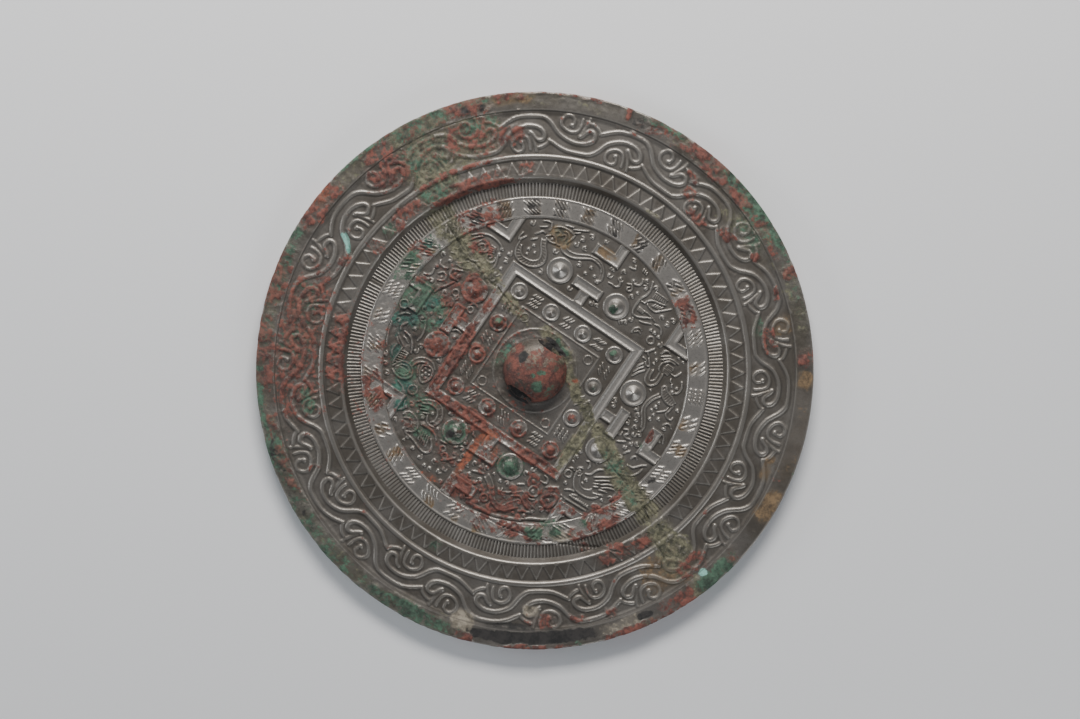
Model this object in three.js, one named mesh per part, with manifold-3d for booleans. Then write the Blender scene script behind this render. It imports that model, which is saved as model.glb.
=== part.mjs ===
// A cast bronze mirror of the Han period, decorated back up, polished face down.
// Millimetres, +Z up, origin at the centre of the polished face. X and Y run along the sides of the
// raised square, and the cord hole through the knob runs along Y.
import * as THREE from "three";
import { mergeVertices } from "three/addons/utils/BufferGeometryUtils.js";
import Module from "manifold-3d";

const wasm = await Module();
wasm.setup();

// Driving dimensions of the disc
const RADIUS = 102.5;
const FACETS = 60;
const DEGREE = Math.PI / 180;
const SINK = 0.4; // how far raised work is rooted in the ground under it
const EDGE_CHAMFER = 0.7;

// Radii of the ring zones, worked out as shares of the disc's radius
const BORDER_INNER = 0.935 * RADIUS;
const SCROLL_MIDDLE = 0.8515 * RADIUS;
const ROUND_RING_OUTER = 0.777 * RADIUS;
const ROUND_RING_INNER = 0.755 * RADIUS;
const SAW_TIP = 0.754 * RADIUS;
const SAW_ROOT = 0.702 * RADIUS;
const WALL_TOP = 0.691 * RADIUS;
const WALL_FOOT = 0.674 * RADIUS;
const WRITING_OUTER = 0.626 * RADIUS;
const WRITING_INNER = 0.547 * RADIUS;
const STEP_RUN = 0.5; // width of the sloping side of a low step

// Heights above the polished face
const BORDER_TOP = 5.6;
const SCROLL_GROUND = 5.0;
const ROUND_RING_TOP = 5.5;
const SAW_GROUND = 4.7;
const SAW_LEDGE = 5.1;
const COMB_GROUND = 2.6;
const WRITING_TOP = 3.3;
const FIELD_GROUND = 2.6;

// The running cloud scroll on the rim
const SCROLL_REPEATS = 15;
const SCROLL_STEP = 360 / SCROLL_REPEATS;
const SCROLL_WIDTH = 2.0;
const SCROLL_HEIGHT = 0.7;
const SAW_TEETH = 89;
const SAW_TOOTH_TOP = 5.0;

// The square, its bars and the round bosses
const FRAME_OUTER = 29.2;
const FRAME_INNER = 25.1;
const FRAME_TOP = 3.35;
const HOLLOW_DEPTH = 0.4;
const INNER_LINE = 17.0;
const BAR_WIDTH = 4.1;
const BOSS_HEIGHT = 1.9;
const BIG_BOSSES = [
  [-13.0, 35.7], [11.6, 36.2], [34.6, 13.3], [35.7, -11.0],
  [12.1, -34.4], [-11.8, -34.9], [-35.3, -12.2], [-34.9, 12.1],
];
const STUD_PITCH = 14.0;

// The knob
const KNOB_RADIUS = 11.8;
const KNOB_TOP = 12.0;
const KNOB_SEAT_RADIUS = 15.6;
const HOLE_HALF_WIDTH = 4.8;
const HOLE_FLOOR = 3.0;
const HOLE_SPRING = 5.2; // height at which the hole's side walls turn into its arch
const HOLE_CROWN = 8.7;

// Turns a closed three.js geometry into a manifold-3d solid
function solidOf(geometry) {
  const plain = geometry.clone();
  plain.deleteAttribute("normal");
  plain.deleteAttribute("uv");
  const merged = mergeVertices(plain, 1e-4);
  return new wasm.Manifold(
    new wasm.Mesh({
      numProp: 3,
      vertProperties: merged.attributes.position.array,
      triVerts: new Uint32Array(merged.index.array),
    }),
  );
}

// Turns a manifold-3d solid back into a three.js geometry
function geometryOf(solid) {
  const mesh = solid.getMesh();
  const geometry = new THREE.BufferGeometry();
  geometry.setAttribute("position", new THREE.BufferAttribute(mesh.vertProperties, 3));
  geometry.setIndex(new THREE.BufferAttribute(mesh.triVerts, 1));
  geometry.computeVertexNormals();
  return geometry;
}

// Joins a list of solids in pairs, which keeps each join small
function joined(solids) {
  let row = solids;
  while (row.length > 1) {
    const next = [];
    for (let i = 0; i < row.length; i += 2) {
      next.push(i + 1 < row.length ? row[i].add(row[i + 1]) : row[i]);
    }
    row = next;
  }
  return row[0];
}

// Spins a profile of [radius, height] points about Z. The points run from the bottom of the axis, out
// and back over the top.
function turned(profile, facets, x = 0, y = 0) {
  const points = profile.map(([radius, height]) => new THREE.Vector2(radius, height));
  const geometry = new THREE.LatheGeometry(points, facets);
  geometry.rotateX(Math.PI / 2);
  geometry.translate(x, y, 0);
  return solidOf(geometry);
}

// Pushes a plan outline up from bottom to top
function raised(outline, bottom, top) {
  const shape = new THREE.Shape(outline.map(([x, y]) => new THREE.Vector2(x, y)));
  const geometry = new THREE.ExtrudeGeometry(shape, { depth: top - bottom, bevelEnabled: false });
  geometry.translate(0, 0, bottom);
  return solidOf(geometry);
}

function onCircle(degrees, radius) {
  return [radius * Math.cos(degrees * DEGREE), radius * Math.sin(degrees * DEGREE)];
}

// A raised thread with a roof-shaped section that follows a smooth line through plan points
function thread(points, width, height, ground, steps) {
  const line = new THREE.CatmullRomCurve3(points.map(([x, y]) => new THREE.Vector3(x, y, ground)));
  const section = new THREE.Shape([
    new THREE.Vector2(-height, 0),
    new THREE.Vector2(SINK, width / 2),
    new THREE.Vector2(SINK, -width / 2),
  ]);
  return solidOf(new THREE.ExtrudeGeometry(section, { steps, extrudePath: line, bevelEnabled: false }));
}

// The disc with its turned steps, from the polished face up to the zones of the back
function disc() {
  return turned(
    [
      [0, 0],
      [RADIUS, 0],
      [RADIUS, BORDER_TOP - EDGE_CHAMFER],
      [RADIUS - EDGE_CHAMFER, BORDER_TOP],
      [BORDER_INNER, BORDER_TOP],
      [BORDER_INNER - STEP_RUN, SCROLL_GROUND],
      [ROUND_RING_OUTER, SCROLL_GROUND],
      [(ROUND_RING_OUTER + ROUND_RING_INNER) / 2, ROUND_RING_TOP],
      [ROUND_RING_INNER, SAW_GROUND],
      [SAW_ROOT, SAW_GROUND],
      [SAW_ROOT, SAW_LEDGE],
      [WALL_TOP, SAW_LEDGE],
      [WALL_FOOT, COMB_GROUND],
      [WRITING_OUTER, COMB_GROUND],
      [WRITING_OUTER - STEP_RUN, WRITING_TOP],
      [WRITING_INNER + STEP_RUN, WRITING_TOP],
      [WRITING_INNER, FIELD_GROUND],
      [0, FIELD_GROUND],
    ],
    FACETS,
  );
}

// One wave of the cloud scroll as [degrees from the repeat's start, millimetres from its middle line]:
// a hooked start, the trough, the crest and the end
const WAVE = [
  [16.8, 1.2],
  [15.0, 2.6],
  [13.8, 0.2],
  [14.9, -2.0],
  [17.5, -2.8],
  [21.5, -1.2],
  [24.2, 3.8],
  [27.0, 5.9],
  [30.0, 6.3],
  [33.5, 5.0],
  [36.3, 2.7],
];

// The cloud over the trough, one line from its first fold round its big curl
const CLOUD = [
  [17.6, 5.6],
  [18.1, 1.4],
  [19.5, 0.7],
  [21.4, 1.9],
  [22.1, 4.4],
  [20.6, 6.6],
];
const WAVE_STEPS = 7;
const CLOUD_STEPS = 4;
const CLOUD_WIDTH = 1.4;

// Lays a line of the scroll on the rim. The inner half of the pattern is the outer half flipped over the
// middle line and moved back by half a repeat.
function scrollLine(line, repeat, flipped) {
  return line.map(([degrees, offset]) => {
    const start = (repeat - (flipped ? 0.5 : 0)) * SCROLL_STEP;
    return onCircle(start + degrees, SCROLL_MIDDLE + (flipped ? -offset : offset));
  });
}

function cloudScroll() {
  const solids = [];
  for (let repeat = 0; repeat < SCROLL_REPEATS; repeat += 1) {
    for (const flipped of [false, true]) {
      const wave = scrollLine(WAVE, repeat, flipped);
      const cloud = scrollLine(CLOUD, repeat, flipped);
      solids.push(thread(wave, SCROLL_WIDTH, SCROLL_HEIGHT, SCROLL_GROUND, WAVE_STEPS));
      solids.push(thread(cloud, CLOUD_WIDTH, SCROLL_HEIGHT, SCROLL_GROUND, CLOUD_STEPS));
    }
  }
  return joined(solids);
}

// The ring of flat triangular teeth, points outwards
function sawTeeth() {
  const solids = [];
  const half = 180 / SAW_TEETH;
  for (let tooth = 0; tooth < SAW_TEETH; tooth += 1) {
    const middle = tooth * 2 * half;
    const outline = [
      onCircle(middle - half * 0.9, SAW_ROOT - SINK),
      onCircle(middle, SAW_TIP),
      onCircle(middle + half * 0.9, SAW_ROOT - SINK),
    ];
    solids.push(raised(outline, SAW_GROUND - SINK, SAW_TOOTH_TOP));
  }
  return joined(solids);
}

// A bar of the TLV pattern between two corners in plan, with its top hollowed to a shallow V
function bar(x0, y0, x1, y1) {
  const along = Math.abs(x1 - x0) > Math.abs(y1 - y0);
  const length = along ? x1 - x0 : y1 - y0;
  const half = (along ? y1 - y0 : x1 - x0) / 2;
  const section = new THREE.Shape([
    new THREE.Vector2(-half, 0),
    new THREE.Vector2(half, 0),
    new THREE.Vector2(half, FRAME_TOP - FIELD_GROUND + SINK),
    new THREE.Vector2(0, FRAME_TOP - FIELD_GROUND + SINK - HOLLOW_DEPTH),
    new THREE.Vector2(-half, FRAME_TOP - FIELD_GROUND + SINK),
  ]);
  const geometry = new THREE.ExtrudeGeometry(section, { depth: length, bevelEnabled: false });
  geometry.rotateX(Math.PI / 2);
  geometry.translate(0, length, 0);
  if (along) {
    geometry.rotateZ(-Math.PI / 2);
  }
  geometry.translate(along ? x0 : x0 + half, along ? y0 + half : y0, FIELD_GROUND - SINK);
  return solidOf(geometry);
}

// The raised square with its hollowed top
function squareFrame() {
  const sides = [
    bar(-FRAME_OUTER, FRAME_INNER, FRAME_OUTER, FRAME_OUTER),
    bar(-FRAME_OUTER, -FRAME_OUTER, FRAME_OUTER, -FRAME_INNER),
    bar(-FRAME_OUTER, -FRAME_OUTER, -FRAME_INNER, FRAME_OUTER),
    bar(FRAME_INNER, -FRAME_OUTER, FRAME_OUTER, FRAME_OUTER),
  ];
  return joined(sides);
}

// The thin raised square line between the knob and the studs
function innerSquareLine() {
  const half = INNER_LINE;
  const corners = [[-half, -half], [half, -half], [half, half], [-half, half]];
  const solids = corners.map((corner, i) =>
    thread([corner, corners[(i + 1) % 4]], 0.9, 0.35, FIELD_GROUND, 1),
  );
  return joined(solids);
}

// The T, L and V of one side, drawn for the upper side. The T and the L stand a little off its middle.
const T_MIDDLE = -0.9;
const T_HALF = 5.9;
const T_BAR = [33.9, 38.0];
const L_LEFT = -7.0;
const L_RIGHT = 4.4;
const L_FOOT = [47.7, 51.8];
const V_CORNER = 34.0;
const V_WIDTH = 3.8;
const V_REACH = Math.sqrt(WRITING_INNER ** 2 - V_CORNER ** 2);

function tlvOfSide() {
  return [
    bar(T_MIDDLE - T_HALF, T_BAR[0], T_MIDDLE + T_HALF, T_BAR[1]),
    bar(T_MIDDLE - BAR_WIDTH / 2, FRAME_OUTER - SINK, T_MIDDLE + BAR_WIDTH / 2, T_BAR[0] + SINK),
    bar(L_LEFT, L_FOOT[0], L_RIGHT, L_FOOT[1]),
    bar(L_RIGHT - BAR_WIDTH, L_FOOT[1] - SINK, L_RIGHT, WRITING_INNER),
    bar(V_CORNER, V_CORNER, V_CORNER + V_WIDTH, V_REACH),
    bar(V_CORNER, V_CORNER, V_REACH, V_CORNER + V_WIDTH),
  ];
}

// A round boss on a dished seat
const SEAT_RISE = 0.55;
const SEAT_SLOPE = 0.5;
const SEAT_DISH = 0.25;

function boss(x, y, seat, base, height, facets) {
  const rim = FIELD_GROUND + SEAT_RISE;
  const profile = [
    [0, FIELD_GROUND - SINK],
    [seat, FIELD_GROUND - SINK],
    [seat - SEAT_SLOPE, rim],
    [base, rim - SEAT_DISH],
    [0, rim + height],
  ];
  return turned(profile, facets, x, y);
}

// Repeats what is drawn for the upper side on all four sides
function onFourSides(solids) {
  const all = [];
  for (const turn of [0, 90, 180, 270]) {
    all.push(...solids.map((solid) => solid.rotate([0, 0, turn])));
  }
  return joined(all);
}

function bigBosses() {
  return joined(BIG_BOSSES.map(([x, y]) => boss(x, y, 4.8, 2.9, BOSS_HEIGHT, 9)));
}

// Four studs a side share their corner studs, so each side draws three
function studs() {
  const out = 1.5 * STUD_PITCH;
  return onFourSides([
    boss(-out, out, 3.2, 1.8, 1.5, 7),
    boss(-STUD_PITCH / 2, out, 3.2, 1.8, 1.5, 7),
    boss(STUD_PITCH / 2, out, 3.2, 1.8, 1.5, 7),
  ]);
}

// The creatures and wisps of the field as threads: [points, width, steps]
const CREATURES = [
  // dragon in the upper left: hooped body, then its long neck and tail
  [[[-24, 43], [-20.2, 36], [-23.5, 31], [-29.5, 32.2], [-30.2, 37.5], [-27.6, 42]], 2.4, 7],
  [[[-22.5, 44.5], [-16.2, 43.2], [-11.5, 42.3], [-4, 46.2], [1, 42.5]], 1.9, 6],
  // long-necked bird in the upper right
  [[[18.4, 50], [17.2, 43], [19, 38], [24.5, 39.8]], 1.8, 6],
  [[[20, 43.5], [23.5, 46], [28, 46.6]], 2.2, 3],
  // tiger on the right: hooped body, hind limb and tail
  [[[36, 30.5], [40.6, 28], [40, 21], [35.6, 20], [33, 25.5]], 2.4, 7],
  [[[41.6, 26], [44, 19.3], [49, 17.6], [48, 13]], 2.2, 5],
  [[[43, 18.5], [41.2, 13], [44.5, 5.5], [43.6, 2.8]], 1.4, 4],
  // phoenix in the lower right
  [[[34, -21], [35.6, -27], [41, -28], [48, -20.8]], 2.2, 5],
  [[[38.5, -22], [42.5, -18.8], [47, -15.6]], 2.2, 3],
  // snake along the lower edge
  [[[3, -42.2], [9, -42.2], [15.5, -48], [21, -43.2], [27.5, -43]], 2.0, 6],
  [[[28.2, -37], [31.5, -34.2], [32.8, -37.8], [29.5, -39]], 1.8, 5],
  // crane in the lower left
  [[[-28.5, -33], [-22.5, -30.6], [-18.6, -34], [-22.5, -38.6]], 1.8, 6],
  [[[-30, -42], [-24, -40.5], [-17, -41.5], [-10, -45]], 2.0, 5],
  // tortoise on the left
  [[[-39.4, -24], [-36, -19], [-31.2, -21.5], [-32.6, -26.2]], 2.4, 6],
  [[[-44, -22], [-43.2, -28], [-38.4, -28.6], [-37.6, -24.5]], 2.0, 5],
  // bird in the upper corner of the left side
  [[[-46.5, 28], [-42, 31.6], [-36.5, 29.5]], 2.0, 4],
  [[[-45.5, 5], [-43, 10], [-45.5, 14.5], [-40.5, 17.8]], 1.8, 5],
];
const CREATURE_HEIGHT = 0.55;

function creatures() {
  return joined(
    CREATURES.map(([points, width, steps]) => thread(points, width, CREATURE_HEIGHT, FIELD_GROUND, steps)),
  );
}

// The knob on its round seat, pierced along Y for the cord
function knob() {
  const rise = KNOB_TOP - FIELD_GROUND;
  const profile = [
    [0, FIELD_GROUND - SINK],
    [KNOB_SEAT_RADIUS, FIELD_GROUND - SINK],
    [KNOB_SEAT_RADIUS - 0.4, FIELD_GROUND + 0.35],
    [KNOB_RADIUS, FIELD_GROUND + 0.15],
  ];
  for (const degrees of [18, 42, 65]) {
    profile.push([
      KNOB_RADIUS * Math.cos(degrees * DEGREE),
      FIELD_GROUND + rise * Math.sin(degrees * DEGREE),
    ]);
  }
  profile.push([0, KNOB_TOP]);
  return turned(profile, 26);
}

function cordHole() {
  const outline = new THREE.Shape();
  outline.moveTo(-HOLE_HALF_WIDTH, HOLE_FLOOR);
  outline.lineTo(HOLE_HALF_WIDTH, HOLE_FLOOR);
  outline.lineTo(HOLE_HALF_WIDTH, HOLE_SPRING);
  outline.absellipse(0, HOLE_SPRING, HOLE_HALF_WIDTH, HOLE_CROWN - HOLE_SPRING, 0, Math.PI, false, 0);
  const reach = KNOB_RADIUS + 2;
  const geometry = new THREE.ExtrudeGeometry(outline, {
    depth: 2 * reach,
    bevelEnabled: false,
    curveSegments: 8,
  });
  geometry.rotateX(Math.PI / 2);
  geometry.translate(0, reach, 0);
  return solidOf(geometry);
}

const mirror = joined([
  disc(),
  cloudScroll(),
  sawTeeth(),
  squareFrame(),
  innerSquareLine(),
  onFourSides(tlvOfSide()),
  bigBosses(),
  studs(),
  creatures(),
  knob(),
]).subtract(cordHole());

const bronze = new THREE.MeshStandardMaterial({ color: 0x5a554f, roughness: 0.42, metalness: 0.85 });
const mesh = new THREE.Mesh(geometryOf(mirror), bronze);
mesh.name = "mirror";

const group = new THREE.Group();
group.add(mesh);
export default group;
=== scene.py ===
# %% [markdown]
# # An old Chinese bronze mirror, lying on its polished face
#
# The mirror is a single casting: a disc with a thick rim, a back full of low relief, and a pierced knob
# for a cord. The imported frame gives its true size, and this notebook makes the surface that a visitor
# sees: every ring, line and creature of the relief as real mesh, under twenty centuries of corrosion.

# %% Load the frame
import itertools
import math
import random

import bmesh
import bpy
import numpy as np
from mathutils import Matrix, Vector


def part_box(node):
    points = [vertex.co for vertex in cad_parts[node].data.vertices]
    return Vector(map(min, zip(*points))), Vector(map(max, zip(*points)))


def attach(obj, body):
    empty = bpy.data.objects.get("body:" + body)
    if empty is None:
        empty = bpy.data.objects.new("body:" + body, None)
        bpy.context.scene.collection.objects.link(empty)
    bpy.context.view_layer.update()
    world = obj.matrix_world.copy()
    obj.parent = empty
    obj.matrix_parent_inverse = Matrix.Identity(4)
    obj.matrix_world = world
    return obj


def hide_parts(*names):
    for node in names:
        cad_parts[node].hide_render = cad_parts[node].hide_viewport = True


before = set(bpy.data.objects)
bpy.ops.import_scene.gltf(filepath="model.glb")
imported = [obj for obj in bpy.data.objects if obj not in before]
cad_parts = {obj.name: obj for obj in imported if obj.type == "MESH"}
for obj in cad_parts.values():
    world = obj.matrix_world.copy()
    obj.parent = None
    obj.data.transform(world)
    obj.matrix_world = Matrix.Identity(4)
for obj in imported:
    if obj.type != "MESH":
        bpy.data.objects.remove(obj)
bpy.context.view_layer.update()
low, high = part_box("mirror")
print("frame box", low, high)

# %% [markdown]
# ## Sizes
#
# The modelling below thinks in millimetres, as a founder would, and each piece is scaled to metres in
# its last step. The radii of the ring zones are shares of the disc's radius, and heights are counted up
# from the polished face. A mirror maker laid the rings out with compasses from the middle of the knob.

# %% Driving sizes
MM = 0.001
RADIUS = (high[0] - low[0]) / 2 / MM
TALLEST = (high[2] - low[2]) / MM
OUTLINE = RADIUS - 0.15  # the corroded edge stays just inside the frame's disc

BORDER_INNER = 0.935 * RADIUS
SCROLL_MIDDLE = 0.8515 * RADIUS
ROUND_RING = 0.766 * RADIUS
ROUND_RING_HALF = 1.15
SAW_TIP = 0.754 * RADIUS
SAW_ROOT = 0.702 * RADIUS
WALL_TOP = 0.691 * RADIUS
WALL_FOOT = 0.675 * RADIUS
COMB_INNER = 0.631 * RADIUS
WRITING_OUTER = 0.626 * RADIUS
WRITING_INNER = 0.547 * RADIUS

BORDER_TOP = 5.6
SCROLL_GROUND = 5.0
ROUND_RING_TOP = 5.5
SAW_GROUND = 4.7
SAW_TOOTH_TOP = 5.05
SAW_LEDGE = 5.1
COMB_GROUND = 2.6
WRITING_TOP = 3.25
FIELD_GROUND = 2.6
BURIED = 1.2  # height of the hidden undersides, inside the plate
print("radius %.2f mm, knob top %.2f mm" % (RADIUS, TALLEST))

# %% [markdown]
# ## Angles
#
# The square of the pattern gives the mirror its X and Y. The photograph shows the mirror turned, so a
# place seen at some angle in the picture is PICTURE_TURN further round on the mirror itself.

# %% Angles and plain helpers
PICTURE_TURN = 34.0
SIGNS = 36
SIGN_FIRST = 34.6  # where the first sign of the writing stands, on the mirror itself


def smoothstep(value, start, end):
    """0 before start, 1 after end, with an even slope between."""
    t = np.clip((value - start) / (end - start), 0, 1)
    return t * t * (3 - 2 * t)


# %% [markdown]
# ## Bumps that nature made
#
# Corrosion is irregular at every scale. The sum of a few layers of smooth random bumps, each half the
# size of the last, looks like it. The random values come from mixing whole numbers, so every run of the
# notebook gives the same crust.

# %% Random bumps
SEED_STEP = 31.7  # how far the next seed's bumps lie along the same endless pattern
LAYER_SHARE = 0.55  # height of each layer in terms of the last


def bumps(x, y, z, size, seed):
    """Smooth random heights between -1 and 1, about one size apart."""
    place = np.stack([x, y, np.broadcast_to(z, np.shape(x))]) / size + SEED_STEP * seed
    cell = np.floor(place).astype(np.int64)
    part = place - cell
    part = part * part * (3 - 2 * part)
    total = np.zeros(np.shape(x))
    for corner in itertools.product((0, 1), repeat=3):
        a, b, c = (cell[i] + corner[i] for i in range(3))
        mixed = (a * 73856093) ^ (b * 19349663) ^ (c * 83492791)
        mixed = (mixed ^ (mixed >> 13)) * 1274126177
        value = ((mixed ^ (mixed >> 16)) & 0xFFFF) / 32767.5 - 1
        weight = 1.0
        for i in range(3):
            weight = weight * (part[i] if corner[i] else 1 - part[i])
        total += value * weight
    return total


def crust(x, y, z, size, seed, layers=4):
    """Several layers of bumps, each half the size and a little over half the height of the last."""
    total = 0
    strength = 1.0
    for layer in range(layers):
        total = total + strength * bumps(x, y, z, size / 2**layer, seed + layer)
        strength *= LAYER_SHARE
    return total / 1.8


# %% [markdown]
# ## The stains
#
# The patina isn't the same all over: red copper oxide down one side, green along the edge, a band of
# dried earth across the middle. A painter would map these, and so do two tables: for each kind of
# stain they say where it lies and how strong it is. In the ring zones a stain is a patch between two
# picture angles and two shares of the radius. In the middle it is an oval in mm on the mirror's own X and Y.

# %% Map of the stains in the ring zones
RING_STAINS = {  # kind: from angle, to angle, from share, to share, strength
    "ochre": [
        (326, 334, 0.935, 1, 0.9), (-4, 0, 0.935, 1, 0.9), (334, 357, 0.935, 1, 0.3),
        (90, 100, 0.955, 1.01, 0.7), (98, 112, 0.8, 0.92, 0.5), (334, 340, 0.88, 0.92, 0.7),
        (8, 13, 0.86, 0.93, 0.5), (297, 309, 0.77, 0.92, 0.6),
    ],
    "red": [
        (0.7, 5, 0.935, 1.01, 1), (19.5, 22.2, 0.94, 1.01, 1), (24, 30, 0.935, 0.965, 0.7),
        (28, 58, 0.935, 1.01, 0.95), (58, 66, 0.94, 1.01, 0.6), (69.5, 70.8, 0.95, 1.01, 0.9),
        (72, 92, 0.985, 1.01, 0.55), (92, 99, 0.97, 1.01, 0.8), (99.5, 110, 0.935, 1.01, 1),
        (109, 121, 0.935, 1, 0.55), (122, 130, 0.935, 1, 0.75), (136, 149, 0.935, 1.01, 0.9),
        (154, 167, 0.935, 1.01, 0.92), (168, 187, 0.935, 1.01, 0.9), (190, 204, 0.965, 1, 0.5),
        (188, 209, 0.935, 0.98, 0.85), (253, 257, 0.965, 1, 1.1), (262, 277, 0.985, 1.01, 0.9),
        (285, 299, 0.978, 1.01, 0.95), (298, 306, 0.935, 1.01, 1), (315, 318, 0.94, 1, 0.7),
        (4, 11, 0.82, 0.87, 0.6), (16, 19, 0.89, 0.915, 1), (26, 28.5, 0.87, 0.9, 1),
        (33, 38, 0.82, 0.86, 0.9), (40, 47, 0.78, 0.82, 0.9), (47, 51, 0.82, 0.87, 0.9),
        (49, 53, 0.88, 0.91, 0.8), (92, 99, 0.81, 0.88, 0.8), (98, 112, 0.8, 0.93, 0.68),
        (110, 124, 0.8, 0.93, 0.4), (97.2, 99, 0.815, 0.84, 1.4), (120, 132, 0.82, 0.94, 0.85),
        (148, 152, 0.77, 0.81, 0.7), (153, 192, 0.77, 0.94, 0.86), (267, 276, 0.87, 0.93, 0.7),
        (305, 313, 0.86, 0.93, 0.7), (278, 283, 0.885, 0.92, 0.7), (286, 289, 0.885, 0.92, 0.7),
        (97, 125, 0.755, 0.78, 0.7), (90, 95, 0.7, 0.755, 0.8), (98, 120, 0.69, 0.73, 0.8),
        (122, 136, 0.69, 0.755, 0.8), (140, 144, 0.69, 0.755, 0.6), (162, 186, 0.68, 0.755, 0.9),
        (288, 297, 0.69, 0.745, 0.8), (297, 305, 0.7, 0.755, 0.8), (95, 122, 0.672, 0.7, 1.25),
        (283.5, 287.5, 0.64, 0.67, 0.9), (14, 28, 0.55, 0.62, 0.85), (101, 118, 0.54, 0.63, 0.8),
        (131, 137, 0.54, 0.63, 0.8), (179, 195, 0.54, 0.63, 0.8), (287, 301, 0.54, 0.63, 0.85),
        (236, 275, 0.54, 0.6, 0.5),
    ],
    "earth": [
        (5, 24, 0.935, 1, 0.36), (26, 60, 0.935, 1, 0.4), (70, 94, 0.935, 1, 0.28),
        (109, 124, 0.935, 1.01, 0.85), (129, 139, 0.935, 1, 0.45), (150, 186, 0.935, 1, 0.35),
        (184, 256, 0.935, 1, 0.36), (305, 308.5, 0.93, 1.01, 0.8), (24, 42, 0.86, 0.94, 0.35),
        (99, 124, 0.76, 0.94, 0.6), (111, 123, 0.68, 0.94, 1), (303, 312, 0.68, 0.9, 0.8),
        (51, 56, 0.69, 0.71, 0.7), (116, 126, 0.54, 0.69, 0.8), (304, 313, 0.54, 0.69, 0.8),
    ],
    "green": [
        (8, 24, 0.935, 1.01, 0.3), (23, 48, 0.968, 1.01, 1), (27, 41, 0.935, 0.985, 0.55),
        (56, 68, 0.975, 1.01, 0.75), (108, 122, 0.935, 1.01, 0.75), (99, 108, 0.97, 1.01, 0.6),
        (122, 136, 0.98, 1.01, 0.8), (148, 156, 0.955, 1.01, 0.75), (150, 176, 0.945, 1.01, 0.42),
        (176, 208, 0.972, 1.01, 0.85), (186, 232, 0.935, 1, 0.52), (205, 232, 0.978, 1.01, 0.85),
        (228, 252, 0.945, 1.01, 1), (307, 317, 0.94, 1.01, 1.15), (8, 14, 0.79, 0.83, 0.6),
        (28, 38, 0.88, 0.94, 0.7), (98, 108, 0.87, 0.93, 0.55), (111, 123, 0.8, 0.93, 0.5),
        (113, 119, 0.79, 0.85, 0.8), (156, 180, 0.8, 0.92, 0.35), (184, 191, 0.79, 0.85, 0.6),
        (134, 138, 0.7, 0.75, 0.7), (239, 242, 0.7, 0.75, 0.7), (112, 125, 0.69, 0.755, 0.6),
        (127, 131, 0.54, 0.63, 0.7), (135, 147, 0.54, 0.63, 0.7),
    ],
    "pale": [
        (36, 50, 0.96, 1.01, 0.5), (99.5, 109, 0.945, 1, 0.8), (251.5, 256.5, 0.895, 0.965, 1.25),
        (284, 294, 0.94, 0.985, 0.6), (267, 271, 0.84, 0.88, 1),
    ],
    "dark": [
        (42, 60, 0.945, 0.975, 0.35), (64.5, 69.5, 0.94, 1, 0.6), (100.5, 102, 0.945, 0.975, 0.9),
        (104, 106.4, 0.945, 0.98, 1), (149, 156, 0.94, 0.975, 0.35), (171, 186, 0.94, 0.99, 0.4),
        (192, 212, 0.955, 1, 0.45), (229, 252, 0.955, 0.99, 0.35), (257, 282.7, 0.934, 0.983, 1.7),
        (258, 270, 0.905, 0.935, 0.95), (292.5, 296.5, 0.948, 0.972, 1.1),
    ],
    "rust": [
        (138.5, 143, 0.96, 1.01, 0.55),
    ],
    "teal": [
        (292.8, 295.6, 0.952, 0.97, 0.8),
    ],
    "turquoise": [
        (308.6, 310.6, 0.93, 0.95, 1.4),
    ],
}
print(sum(len(patches) for patches in RING_STAINS.values()), "stains in the ring zones")

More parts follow.
